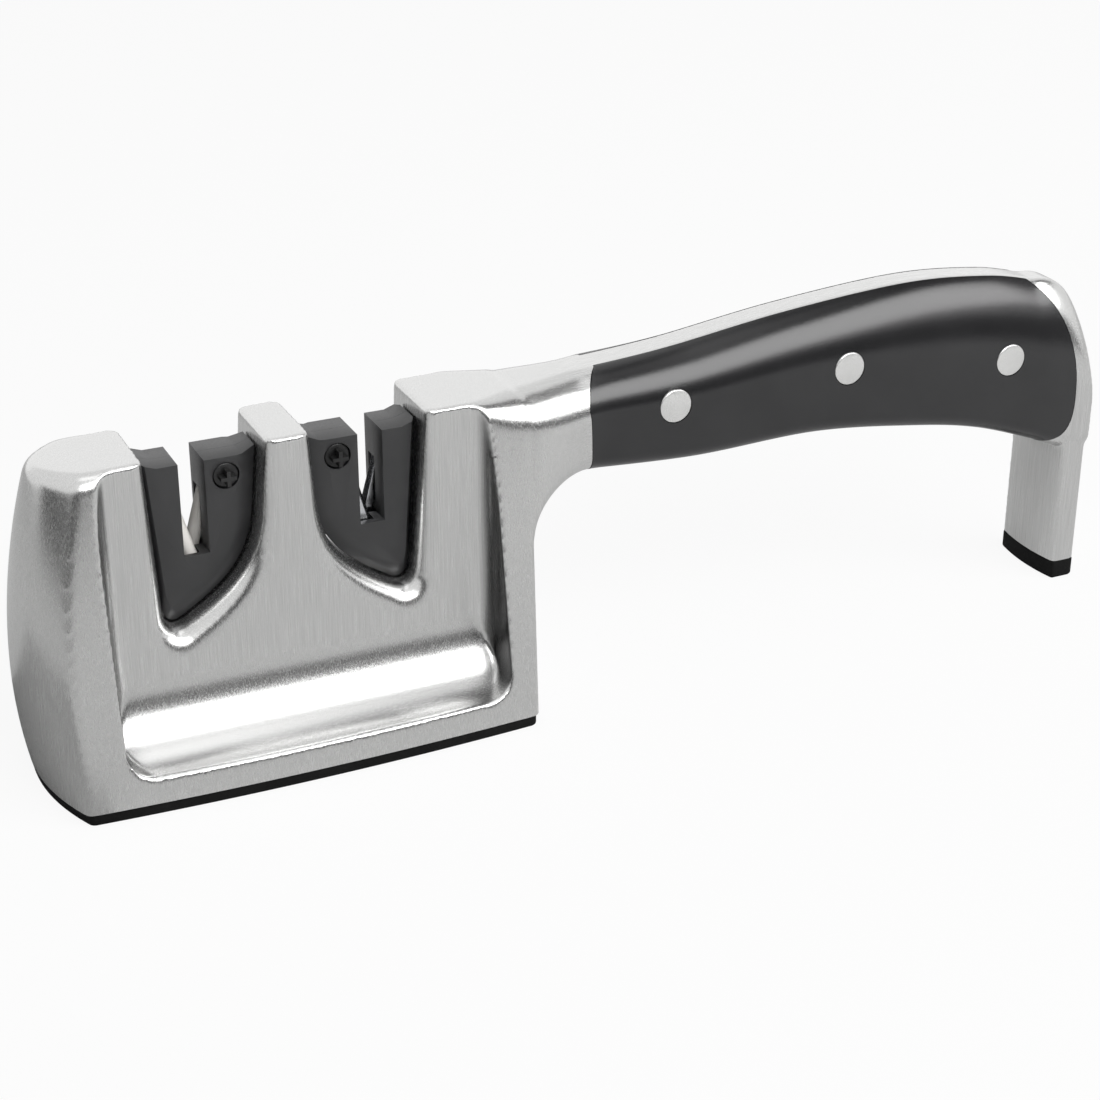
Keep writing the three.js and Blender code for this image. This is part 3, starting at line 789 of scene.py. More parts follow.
class Paint:
    """Makes each finish once and puts it on pieces and on the CAD nodes that stay."""

    def __init__(self) -> None:
        """Makes the materials."""
        self.materials = {finish: finish.value.material() for finish in Finish}

    def dress(self, piece: Solid, finish: Finish, *nodes: str) -> Solid:
        """Gives a new piece its finish and its place in the frame.

        Args:
            piece: The new piece.
            finish: Its finish.
            *nodes: The CAD nodes that it stands for.

        Returns:
            The same piece.
        """
        piece.data.materials.clear()
        piece.data.materials.append(self.materials[finish])
        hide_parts(*nodes)
        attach(piece, ROOT)
        LOG.info("%s stands for %s, %d faces", piece.name, ", ".join(nodes), len(piece.data.polygons))
        return piece

    def dress_node(self, node: str, finish: Finish) -> None:
        """Gives a CAD node that stays its finish.

        Args:
            node: Name of the node.
            finish: Its finish.
        """
        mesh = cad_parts[node].data
        mesh.materials.clear()
        mesh.materials.append(self.materials[finish])
        LOG.info("%s keeps its solid", node)


@dataclass
class Notch:
    """The open notch in the head that takes an insert, drawn on the +X side."""

    inner_top: float = 3.6
    inner_low: float = 5.4
    shoulder_z: float = 46.0
    outer_top: float = 25.8
    outer_low: float = 23.4
    tip_z: float = 27.6
    tip_reach: float = 20.3
    tip_radius: float = 2.4
    top_z: float = 64.3
    bend: float = 1.2
    sweep: float = 9.0
    sweep_rise: float = 5.0
    tip_tuck: float = 0.6
    inner_steps: int = 12
    outer_steps: int = 18

    def outline(self, gap: float, draws: Point = (0.0, 0.0, 0.0)) -> list[Flat]:
        """The notch's outline from the inner top round the tip to the outer top.

        Args:
            gap: How far the outline is drawn in on every side.
            draws: How much further it is drawn in on its inner side, at the tip and on its outer side.

        Returns:
            The outline's points in X and Z.
        """
        inner_draw, tip_draw, outer_draw = draws
        inner = gap + inner_draw
        tip_z = self.tip_z + gap + tip_draw
        outer_low = self.outer_low - gap - outer_draw
        tip = (self.tip_reach + inner_draw / 4, tip_z)
        shoulder = (self.inner_low + inner, self.shoulder_z)
        bend_z = (self.shoulder_z + tip_z) / 2
        swept = (tip[0] - self.sweep + gap, tip_z + self.sweep_rise)
        side = [shoulder, (shoulder[0] + self.bend, bend_z), swept, tip]
        foot = [tip, (outer_low - self.tip_tuck, tip_z - self.tip_tuck), (outer_low, tip_z + self.tip_radius)]
        outer_top = (self.outer_top - gap - outer_draw, self.top_z)
        points = line_points((self.inner_top + inner, self.top_z), shoulder, self.inner_steps)
        points += curve_points(side, 2 * ARC_STEPS) + curve_points(foot, CORNER_STEPS)
        return points + line_points(foot[-1], outer_top, self.outer_steps) + [outer_top]


@dataclass
class Grip:
    """The grip bar with its two scales and three rivets."""

    width: float = 19.0
    crown_slope: float = 22.0
    lower_edge: float = 3.2
    edge_share: float = 0.5
    crown_share: float = 0.46
    neck_edge: float = 6.0
    crown_end_x: float = 62.0
    crown_height: float = 21.4
    crown_gain: float = 0.5
    neck_root_x: float = 42.0
    neck_start_x: float = 45.0
    neck_blend_x: float = 60.0
    neck_end_x: float = 57.0
    neck_fillet: float = 11.5
    tail_x: float = 170.8
    tail_squareness: float = 2.5
    tail_shoulder_z: float = 41.0
    tail_low_z: float = 29.0
    tang_thickness: float = 5.6
    scale_start_x: float = 57.2
    scale_end_bow: float = 0.4
    toe_run: float = 5.0
    toe_bend: float = 0.9
    toe_drop: float = 6.5
    toe_steps: int = 20
    neck_steps: int = 20
    bar_steps: int = 70
    tail_steps: int = 28
    tail_band: float = 4.8
    tail_rise: float = 2.8
    tail_drop: float = 3.2
    tail_crest: float = 4.4
    rivet_diameter: float = 6.5
    rivet_dome: float = 0.5
    rivet_crease: float = 40.0
    scale_crease: float = 28.0
    head_low_z: float = 2.4
    head_low_side: float = 20.3
    head_low_bulge: float = 3.6
    head_top_z: float = 61.0
    head_top_side: float = 10.0
    head_top_bulge: float = 0.4
    top: tuple[Flat, ...] = (
        (30, 61), (45, 61.4), (57, 62.2), (75, 63.6), (101, 67), (128, 68.9), (147, 67.6), (158, 65.2),
    )
    bottom: tuple[Flat, ...] = ((57, 44), (80, 42.6), (106, 43), (129, 40.3), (144, 37.3), (158, 32.4))
    rivets: dict[str, Flat] = field(default_factory=lambda: {
        "rivet_front": (74.7, 54.4), "rivet_middle": (112, 55.8), "rivet_tail": (149.3, 51.6),
    })

    def head_end(self, z: float) -> Flat:
        """The head's form at its neck end.

        Args:
            z: The height.

        Returns:
            How far the head's side stands out there, and how far its end bulges.
        """
        share = (z - self.head_low_z) / (self.head_top_z - self.head_low_z)
        side = blend(self.head_low_side, self.head_top_side, share)
        return side, blend(self.head_low_bulge, self.head_top_bulge, share)

    def span(self, x: float) -> tuple[float, float]:
        """How high the bar reaches at a place.

        Args:
            x: The place.

        Returns:
            The bar's top and bottom there.
        """
        tail_start, top_end = self.top[-1]
        turn = limit((x - tail_start) / (self.tail_x - tail_start))
        arch = max(0.0, 1 - turn ** self.tail_squareness) ** (1 / self.tail_squareness)
        top = blend(self.tail_shoulder_z, top_end, arch) if turn > 0 else height_on(self.top, x)
        if x < self.neck_end_x:
            along = min(self.neck_fillet, self.neck_end_x - x)
            return top, self.bottom[0][1] - self.neck_fillet + math.sqrt(self.neck_fillet ** 2 - along ** 2)
        if turn > 0:
            return top, blend(self.tail_low_z, self.bottom[-1][1], (1 - turn) ** 2)
        return top, height_on(self.bottom, x)

    def ring(self, x: float) -> list[Point]:
        """One section of the bar: flat over the tang, rounded over to its sides and rounded below.

        Args:
            x: Place of the section.

        Returns:
            The section's points, widened near the head to run into its sides.
        """
        top, bottom = self.span(x)
        share = smooth_share(x, self.neck_start_x, self.neck_blend_x)
        crowned = smooth_share(x, self.neck_start_x, self.crown_end_x)
        half, slope = self.width / 2, self.crown_slope * crowned
        most = (top - bottom) * self.edge_share
        flat = blend(half - self.neck_edge, self.tang_thickness / 2, crowned)
        lean = math.radians(slope)
        upper, lower = min((half - flat) / (1 - math.sin(lean)), most), min(self.lower_edge, most)
        rise = upper * math.cos(lean)
        crown = (top - bottom) * self.crown_share * ((top - bottom) / self.crown_height) ** self.crown_gain
        stretch = blend(1.0, crown / rise, crowned)
        upper_z = top - rise * stretch
        arcs = arc_points((half - upper, 0), upper, 0, 90 - slope)
        arcs += arc_points((upper - half, 0), upper, 90 + slope, 180)
        section = [(y, upper_z + stretch * z) for y, z in arcs]
        section += arc_points((lower - half, bottom + lower), lower, 180, 270)
        section += arc_points((half - lower, bottom + lower), lower, 270, 360)
        points = []
        for y, z in section:
            side, bulge = self.head_end(z)
            y *= blend(side / half, 1.0, share)
            points.append((x - bulge * (1 - share) * (y / side) ** 2, y, z))
        return points

    def bar(self, name: str) -> Solid:
        """The whole bar from inside the head to the tail.

        Args:
            name: Name of the new object.

        Returns:
            The solid.
        """
        tail_start = self.top[-1][0]
        neck_turns = levels(0, math.pi / 2, self.neck_steps)
        tail_turns = levels(0, math.pi / 2, self.tail_steps) + [math.pi / 2]
        places = [self.neck_root_x]
        places += [blend(self.neck_end_x, self.neck_start_x, math.cos(turn)) for turn in neck_turns]
        places += levels(self.neck_end_x, tail_start, self.bar_steps)
        places += [blend(tail_start, self.tail_x, math.sin(turn)) for turn in tail_turns]
        return loft(name, [self.ring(x) for x in places])

    def scale_outline(self, grow: float) -> list[Flat]:
        """The side outline that bounds a scale.

        Args:
            grow: The gap that it is grown by.

        Returns:
            The outline's points in X and Z.
        """
        start, end = self.scale_start_x - grow, self.tail_x - self.tail_band + grow
        high, low, band = max(z for _, z in self.top) + OVERRUN, self.tail_low_z - OVERRUN, self.tail_band
        middle = (self.top[2][1] + self.bottom[0][1]) / 2
        toe = (start + self.toe_run, height_on(self.top, start + self.toe_run) + grow)
        heel = (start, toe[1] - self.toe_drop)
        points = [(toe[0], high)] + curve_points([toe, (start + self.toe_bend, toe[1]), heel], self.toe_steps)
        points += curve_points([heel, (start + 2 * self.scale_end_bow, middle), (start, low)])
        points += [(start, low), (end - 3 * band, low)]
        rise, drop = (end, low + self.tail_rise * band), high - self.tail_drop * band
        crest = end - self.tail_crest * band
        points += curve_points([(end - 2 * band, low + band), (end - band / 2, low + band),
                                (end, low + self.tail_rise / 2 * band), rise])
        points += curve_points([rise, (end, drop), (end - band, high - band), (crest, high)], SIDE_STEPS)
        return points + [(crest, high)]

    def slab(self, name: str, side: Side, grow: float) -> Solid:
        """The block that bounds a scale, or its pocket when it is grown.

        Args:
            name: Name of the new object.
            side: Front or rear scale.
            grow: The gap that it is grown by.

        Returns:
            The solid.
        """
        inner = (self.tang_thickness / 2 + HAIRLINE - grow) * side.value
        outer = (self.width / 2 + OVERRUN) * side.value
        return prism(name, self.scale_outline(grow), Axis.Y, inner, outer)

    def rivet_holes(self, gap: float) -> list[Solid]:
        """The round bars that make room for the rivets.

        Args:
            gap: The gap around a rivet.

        Returns:
            One solid for each rivet.
        """
        return [
            round_bar("rivet_hole", Axis.Y, self.rivet_diameter / 2 + gap, (x, -self.width, z), 2 * self.width, 64)
            for x, z in self.rivets.values()
        ]

    def build_scale(self, name: str, side: Side) -> Solid:
        """One scale, trimmed to the bar's surface and drilled.

        Args:
            name: Name of the new piece.
            side: Front or rear scale.

        Returns:
            The scale.
        """
        piece = combine(self.slab(name, side, 0.0), [self.bar("scale_form")], Join.TRIM)
        combine(piece, self.rivet_holes(HAIRLINE / 2), Join.CUT)
        return shade(piece, self.scale_crease)

    def build_rivet(self, name: str) -> Solid:
        """One rivet with softly rounded ends.

        Args:
            name: Name of the rivet.

        Returns:
            The rivet.
        """
        x, z = self.rivets[name]
        half = self.width / 2
        piece = round_bar(name, Axis.Y, self.rivet_diameter / 2, (x, -half, z), self.width, 64)
        return shade(round_edges(piece, self.rivet_dome / 2), self.rivet_crease)

    def build(self, paint: Paint) -> None:
        """Builds and dresses the scales and the rivets.

        Args:
            paint: The finishes.
        """
        for name, side in (("front_scale", Side.FRONT), ("rear_scale", Side.REAR)):
            paint.dress(self.build_scale(f"{name}_moulding", side), Finish.GRIP_BLACK, name)
        for name in self.rivets:
            piece = self.build_rivet(name)
            piece.name = f"{name}_pin"
            paint.dress(piece, Finish.RIVET_STEEL, name)


@dataclass
class Body:
    """The cast body: head, neck, tang, tail and leg in one piece."""

    grip: Grip
    notch: Notch
    free_end: float = 49.4
    neck_end: float = 45.5
    base_depth: float = 43.6
    top_depth: float = 23.0
    bottom_z: float = 2.4
    top_z: float = 61.0
    top_rise: float = 1.3
    top_edge: float = 2.4
    end_edge_share: float = 0.4
    edge_grow_x: float = 33.0
    corner: float = 1.0
    side_bow: float = 1.5
    free_bulge: float = 6.6
    foot_tuck: float = 1.9
    neck_bulge_base: float = 3.6
    neck_bulge_top: float = 0.4
    tuck: float = 6.0
    tuck_start_z: float = 22.0
    foot_steps: int = 20
    edge_steps: int = 12
    web: float = 17.6
    recess_length: float = 72.0
    recess_shift: float = 1.0
    recess_corner: float = 4.5
    recess_foot: float = 5.0
    scoop_run: float = 11.5
    scoop_rise: float = 14.5
    sill_z: float = 7.0
    rim_low: float = 4.6
    rim_top: float = 1.6
    leg_width: float = 18.0
    leg_thickness: float = 5.6
    leg_crown: float = 1.0
    leg_corner: float = 1.6
    leg_bottom_z: float = 4.0
    cavity_length: float = 70.0
    cavity_width: float = 12.0
    cavity_top_z: float = 22.5
    plate_seat_z: float = 4.2
    plate_inset: float = 1.9
    spare: float = 3.0
    skew: float = 45.0
    voxel: float = 0.4
    soften: int = 16
    keep_share: float = 0.48
    crease: float = 58.0

    def plan(self, left: float, right: float, half_depth: float, bulges: Flat) -> list[Flat]:
        """The head's plan outline with bowed sides and bulged ends.

        Args:
            left: The free end.
            right: The neck end.
            half_depth: Half the depth in the middle.
            bulges: How far the free end and the neck's end bow out between their corners.

        Returns:
            The outline's points in X and Y.
        """
        near, far, middle = left + bulges[0], right - bulges[1], (left + right) / 2
        y, bow = half_depth - self.side_bow, half_depth + self.side_bow
        sides = (
            [(near, -y), (middle, -bow), (far, -y)], [(far, -y), (right + bulges[1], 0), (far, y)],
            [(far, y), (middle, bow), (near, y)], [(near, y), (left - bulges[0], 0), (near, -y)],
        )
        points = []
        for side, following in zip(sides, sides[1:] + sides[:1]):
            first, last = share_past(side, self.corner), 1 - share_past(side[::-1], self.corner)
            points += [curve_at(side, share) for share in levels(first, last, SIDE_STEPS)]
            ahead = curve_at(following, share_past(following, self.corner))
            points += curve_points([curve_at(side, last), side[-1], ahead], CORNER_STEPS)
        return points

    def base_plan(self, inset: float) -> list[Flat]:
        """The head's base outline.

        Args:
            inset: How far it is drawn in.

        Returns:
            The outline's points in X and Y.
        """
        bulges = (self.free_bulge - self.foot_tuck, self.neck_bulge_base)
        left = inset + self.foot_tuck - self.free_end
        return self.plan(left, self.neck_end - inset, self.base_depth / 2 - inset, bulges)

    def ring(self, z: float, inset: float) -> list[Point]:
        """The head's outline at a height.

        Args:
            z: The height.
            inset: How far it is drawn in near the top edge.

        Returns:
            The outline's points.
        """
        share = (z - self.bottom_z) / (self.top_z - self.bottom_z)
        above = max(0.0, z - self.tuck_start_z) / (self.top_z - self.tuck_start_z)
        below = max(0.0, self.tuck_start_z - z) / (self.tuck_start_z - self.bottom_z)
        foot_tuck = self.foot_tuck * below ** 2
        left = self.tuck * above ** 2 + foot_tuck + inset * self.end_edge_share - self.free_end
        half_depth = blend(self.base_depth, self.top_depth, share) / 2 - inset
        bulges = (self.free_bulge - foot_tuck, blend(self.neck_bulge_base, self.neck_bulge_top, share))
        outline = self.plan(left, self.neck_end - inset, half_depth, bulges)
        length = self.free_end + self.neck_end
        points = []
        for x, y in outline:
            drawn = min(abs(y), max(0.0, self.edge_inset(x, z) - inset))
            points.append((x, y - math.copysign(drawn, y), z + self.top_rise * share * x / length))
        return points

    def edge_inset(self, x: float, z: float) -> float:
        """How far the rounded top edge, which grows wider towards the neck, is drawn in.

        Args:
            x: The place.
            z: The height.

        Returns:
            The distance that it is drawn in.
        """
        share = smooth_share(x, self.edge_grow_x, self.neck_end)
        edge = blend(self.top_edge, self.grip.neck_edge, share)
        rise = limit(z - self.top_z + edge, 0.0, edge)
        return edge - math.sqrt(edge ** 2 - rise ** 2)

    def block(self) -> Solid:
        """The head with its rounded top edges, before it is cut.

        Returns:
            The solid.
        """
        side_top = self.top_z - self.top_edge
        heights = levels(self.bottom_z - self.spare, self.tuck_start_z, self.foot_steps)
        heights += levels(self.tuck_start_z, side_top, SIDE_STEPS)
        rings = [self.ring(height, 0) for height in heights]
        for run, rise in arc_points((0, side_top), self.top_edge, 0, 90, self.edge_steps):
            rings.append(self.ring(rise, self.top_edge - run))
        return loft("body_shell", rings)

    def recess(self, side: Side) -> Solid:
        """What is scooped out of one side of the head, down to the web.

        Args:
            side: Front or rear.

        Returns:
            The cutting solid.
        """
        web, out = self.web / 2, self.base_depth / 2 + OVERRUN
        top, half, corner = self.notch.top_z + OVERRUN, self.recess_length / 2, self.recess_corner
        run, rise = self.scoop_run, self.scoop_rise
        scoop = [(y * run - web, z * rise + self.sill_z) for y, z in arc_points((-1, 1), 1, -90, 0, 2 * ARC_STEPS)]
        profile = [(-web, top), (-out, top), (-out, self.sill_z)] + scoop
        plan = [(-half, -out), (half, -out)]
        plan += arc_points((half - corner, -web - corner), corner, 0, 90)
        plan += arc_points((corner - half, -web - corner), corner, 90, 180)
        foot, foot_z, flip = self.recess_foot, self.sill_z + self.recess_foot, -side.value
        front = [(half, top), (-half, top)] + arc_points((foot - half, foot_z), foot, 180, 270)
        front += arc_points((half - foot, foot_z), foot, 270, 360)
        solid = prism("recess", [(y * flip, z) for y, z in profile], Axis.X, -half - OVERRUN, half + OVERRUN)
        walls = prism("recess_plan", [(x, y * flip) for x, y in plan], Axis.Z, 0, top + OVERRUN)
        combine(solid, [walls, prism("recess_front", front, Axis.Y, -out * flip - flip, 0)], Join.TRIM)
        solid.location.x = self.recess_shift * MM
        return settle_place(solid)

    def notch_tool(self, side: int) -> Solid:
        """What is cut out for an insert, with its rims rounded over on both faces of the web.

        Args:
            side: The stage's side of the head, as the sign of X.

        Returns:
            The cutting solid.
        """
        outline = self.notch.outline(0.0)
        before, after = [outline[0]] + outline[:-1], outline[1:] + [outline[-1]]
        rims = []
        for (x, z), a, b in zip(outline, before, after):
            run = Vector((b[0] - a[0], b[1] - a[1])).normalized()
            low = limit((self.top_z - z) / (self.top_z - self.notch.tip_z))
            rims.append((x, z, run.y, -run.x, blend(self.rim_top, self.rim_low, low)))
        face = self.web / 2
        depths = [-self.base_depth] + levels(0, self.rim_low, CORNER_STEPS) + [self.rim_low]
        rings = []
        for level in [depth - face for depth in depths] + [face - depth for depth in reversed(depths)]:
            depth = max(0.0, face - abs(level))
            ring = []
            for x, z, out_x, out_z, rim in rims:
                rest = max(0.0, rim - depth)
                grow = rim - math.sqrt(rim ** 2 - rest ** 2)
                ring.append(((x + out_x * grow) * side, level, z + out_z * grow))
            rings.append(ring)
        return loft("notch_tool", rings)

    def leg_plan(self) -> list[Flat]:
        """The plan outline of the leg, crowned towards the head.

        Returns:
            The outline's points in X and Y.
        """
        tail, half, corner = self.grip.tail_x, self.leg_width / 2, self.leg_corner
        inner = tail - self.leg_thickness
        points = [(inner, -half)]
        points += arc_points((tail - corner, corner - half), corner, -90, 0, CORNER_STEPS)
        points += arc_points((tail - corner, half - corner), corner, 0, 90, CORNER_STEPS)
        return points + curve_points([(inner, half), (inner - 2 * self.leg_crown, 0), (inner, -half)])

    def ground(self, name: str, start_x: float, end_x: float, top_z: float) -> Solid:
        """Returns a block that trims the underside flat between two places along X."""
        wide, deep = self.base_depth, -2 * self.spare
        return box_solid(name, (start_x - OVERRUN, -wide, deep), (end_x + OVERRUN, wide, top_z))

    def build(self, paint: Paint) -> None:
        """Builds and dresses the casting.

        Args:
            paint: The finishes.
        """
        piece = self.block()
        combine(piece, [self.recess(Side.FRONT), self.recess(Side.REAR)], Join.CUT)
        leg = prism("leg", self.leg_plan(), Axis.Z, self.leg_bottom_z - self.spare, self.grip.tail_shoulder_z)
        combine(piece, [self.grip.bar("grip_bar"), leg], Join.ADD)
        combine(piece, [self.notch_tool(-1), self.notch_tool(1)], Join.CUT)
        turn_askew(piece, self.skew)
        modify(piece, "REMESH", mode="VOXEL", voxel_size=self.voxel * MM)
        modify(piece, "SMOOTH", factor=0.5, iterations=self.soften)
        turn_askew(piece, -self.skew)
        modify(piece, "DECIMATE", ratio=self.keep_share)
        neck_x, tail_x = self.grip.neck_end_x, self.grip.tail_x
        combine(piece, [self.ground("head_ground", -self.free_end, neck_x, self.bottom_z),
                        self.ground("leg_ground", neck_x, tail_x, self.leg_bottom_z)], Join.CUT)
        combine(piece, [self.grip.slab("pocket", side, HAIRLINE) for side in Side], Join.CUT)
        half_length, half_width = self.cavity_length / 2, self.cavity_width / 2
        hollow = box_solid("hollow", (-half_length, -half_width, 0), (half_length, half_width, self.cavity_top_z))
        seat = prism("plate_seat", self.base_plan(self.plate_inset), Axis.Z, 0, self.plate_seat_z)
        combine(piece, [hollow, seat] + self.grip.rivet_holes(HAIRLINE), Join.CUT)
        paint.dress(shade(piece, self.crease), Finish.BRUSHED_STEEL, "body_casting")


@dataclass
class Inserts:
    """The two guide inserts with their covers, abrasives and screws."""

    notch: Notch
    thickness: float = 9.0
    parting: float = 0.04
    gap: float = 0.3
    top_z: float = 57.5
    ear_rise: float = 1.2
    ear_run: float = 3.4
    slot_reach: float = 16.3
    slot_width: float = 4.6
    slot_bottom_z: float = 40.0
    band_depth: float = 1.3
    band_draws: Point = (3.4, 3.0, 0.7)
    edge: float = 0.28
    screw_reach: float = 10.2
    screw_z: float = 54.0
    screw_head: float = 4.6
    screw_shank: float = 2.2
    screw_head_height: float = 1.2
    screw_sink: float = 0.25
    cross_length: float = 2.9
    cross_width: float = 0.7
    cross_depth: float = 0.7
    lean: float = 16.0
    abrasive_top_z: float = 51.4
    abrasive_bottom_z: float = 35.5
    edge_cross_z: float = 41.6
    spacing: float = 3.6
    rod_diameter: float = 2.6
    blade_thickness: float = 1.8
    blade_width: float = 3.0
    blade_bevel: float = 0.7
    hold_shank: float = 2.5
    hold_start_z: float = 21.0
    hold_length: float = 11.3
    cover_crease: float = 38.0
    crease: float = 35.0
    rod_crease: float = 40.0
    blade_crease: float = 30.0

    def abrasive_length(self) -> float:
        """Returns the length of a rod or blade."""
        return (self.abrasive_top_z - self.abrasive_bottom_z) / math.cos(math.radians(self.lean))

    def stand(self, piece: Solid, width: float, side: int, face: Side) -> Solid:
        """Leans an upright rod or blade and puts it in its stage.

        Args:
            piece: The rod or blade, upright in the origin.
            width: Its width across the slot.
            side: The stage's side of the head, as the sign of X.
            face: Front or rear of the crossed pair.

        Returns:
            The same piece.
        """
        lean = math.radians(self.lean)
        middle_z = (self.abrasive_top_z + self.abrasive_bottom_z) / 2
        offset = math.tan(lean) * (middle_z - self.edge_cross_z + width / 2 / math.sin(lean))
        piece.rotation_euler = (0, face.value * lean, 0)
        piece.location = (
            (side * self.slot_reach + face.value * offset) * MM, face.value * self.spacing / 2 * MM, middle_z * MM,
        )
        return settle_place(piece)

    def groove(self, width: float, depth: float, side: int, face: Side) -> Solid:
        """The groove for a rod or blade, open towards the parting face.

        Args:
            width: Width of the rod or blade.
            depth: Its thickness.
            side: The stage's side of the head, as the sign of X.
            face: Front or rear of the crossed pair.

        Returns:
            The cutting solid.
        """
        half = width / 2 + self.gap
        long = self.abrasive_length() / 2 + self.gap
        inside, outside = -face.value * self.spacing / 2, face.value * (depth / 2 + self.gap)
        low, high = min(inside, outside), max(inside, outside)
        return self.stand(box_solid("groove", (-half, low, -long), (half, high, long)), width, side, face)

    def clamp_hole(self, side: int) -> list[Solid]:
        """The sunk hole for a clamp screw.

        Args:
            side: The stage's side of the head, as the sign of X.

        Returns:
            The cutting solids.
        """
        x, z, front = side * self.screw_reach, self.screw_z, -self.thickness / 2
        head, shank = self.screw_head / 2 + self.gap / 2, self.screw_shank / 2 + self.gap
        sink = self.screw_head_height + self.gap + OVERRUN
        depth = self.thickness - 2 * self.screw_head_height + self.gap
        return [
            round_bar("head_seat", Axis.Y, head, (x, front - OVERRUN, z), sink),
            round_bar("shank_hole", Axis.Y, shank, (x, front, z), depth),
        ]

    def shell(self, name: str, side: int) -> Solid:
        """A whole insert with its slot and dished top, before it is parted.

        Args:
            name: Name of the new piece.
            side: The stage's side of the head, as the sign of X.

        Returns:
            The insert.
        """
        out = self.thickness / 2
        whole = flip_x(self.notch.outline(self.gap), side)
        drawn = flip_x(self.notch.outline(self.gap, self.band_draws), side)
        flank = out - self.band_depth
        sections = ((drawn, -out), (whole, -flank), (whole, flank), (drawn, out))
        piece = loft(name, [[(x, level, z) for x, z in outline] for outline, level in sections])
        ear, over = self.top_z + self.ear_rise, self.notch.top_z + OVERRUN
        inner, outer = self.notch.inner_top, self.notch.outer_top
        dish = [
            (inner - OVERRUN, ear), (inner, ear), (inner + self.ear_run, self.top_z),
            (outer - self.ear_run, self.top_z), (outer, ear), (outer + OVERRUN, ear),
            (outer + OVERRUN, over), (inner - OVERRUN, over),
        ]
        half, slot_x, deep = self.slot_width / 2, side * self.slot_reach, self.thickness
        tools = [
            prism("dish", flip_x(dish, side), Axis.Y, -deep, deep),
            box_solid("slot", (slot_x - half, -deep, self.slot_bottom_z), (slot_x + half, deep, over)),
        ]
        combine(piece, tools + self.clamp_hole(side), Join.CUT)
        return round_corners(piece, self.edge, 2, self.cover_crease)

    def cover(self, name: str, whole: Solid, side: int, face: Side, held: Flat) -> Solid:
        """One half of an insert.

        Args:
            name: Name of the new piece.
            whole: The whole insert.
            side: The stage's side of the head, as the sign of X.
            face: Front or rear half.
            held: Width and thickness of the rod or blade that it holds.

        Returns:
            The cover.
        """
        pick(whole)
        bpy.ops.object.duplicate()
        piece = settle(name)
        reach, top = self.notch.outer_top + OVERRUN, self.notch.top_z
        near, far = sorted((face.value * self.parting / 2, face.value * self.thickness))
        half = box_solid("half", (-reach, near, 0), (reach, far, top))
        combine(piece, [half], Join.TRIM)
        hold_place = (side * self.notch.tip_reach, 0, self.hold_start_z)
        hold = round_bar("hold_hole", Axis.Z, self.hold_shank / 2 + self.gap, hold_place, self.hold_length)
        combine(piece, [self.groove(*held, side, face), hold], Join.CUT)
        return shade(piece, self.crease)

    def clamp_screw(self, name: str, side: int) -> Solid:
        """A cross-head screw with a low rounded head.

        Args:
            name: Name of the new piece.
            side: The stage's side of the head, as the sign of X.

        Returns:
            The screw.
        """
        x, z, front = side * self.screw_reach, self.screw_z, -self.thickness / 2 + self.screw_sink
        length = self.thickness - 2 * self.screw_head_height - self.screw_sink
        piece = round_bar(name, Axis.Y, self.screw_head / 2, (x, front, z), self.screw_head_height, 48)
        round_edges(piece, self.edge)
        shank = round_bar("shank", Axis.Y, self.screw_shank / 2, (x, front + self.screw_head_height / 2, z), length)
        combine(piece, [shank], Join.ADD)
        arm, half, floor = self.cross_length / 2, self.cross_width / 2, front + self.cross_depth
        start = front - OVERRUN
        cross = box_solid("cross", (x - arm, start, z - half), (x + arm, floor, z + half))
        combine(cross, [box_solid("cross_arm", (x - half, start, z - arm), (x + half, floor, z + arm))], Join.ADD)
        combine(piece, [cross], Join.CUT)
        return shade(piece, self.crease)

    def rod(self, name: str, side: int, face: Side) -> Solid:
        """A ceramic rod with rounded ends.

        Args:
            name: Name of the new piece.
            side: The stage's side of the head, as the sign of X.
            face: Front or rear of the crossed pair.

        Returns:
            The rod in its place.
        """
        length = self.abrasive_length()
        piece = round_bar(name, Axis.Z, self.rod_diameter / 2, (0, 0, -length / 2), length, 40)
        round_edges(piece, self.edge)
        return shade(self.stand(piece, self.rod_diameter, side, face), self.rod_crease)

    def blade(self, name: str, side: int, face: Side) -> Solid:
        """A carbide blade with ground edges.

        Args:
            name: Name of the new piece.
            side: The stage's side of the head, as the sign of X.
            face: Front or rear of the crossed pair.

        Returns:
            The blade in its place.
        """
        half, thick, long = self.blade_width / 2, self.blade_thickness / 2, self.abrasive_length() / 2
        flat = half - self.blade_bevel
        outline = [(-half, 0), (-flat, -thick), (flat, -thick), (half, 0), (flat, thick), (-flat, thick)]
        piece = prism(name, outline, Axis.Z, -long, long)
        round_corners(piece, self.edge / 3, 2, self.blade_crease)
        return shade(self.stand(piece, self.blade_width, side, face), self.blade_crease)

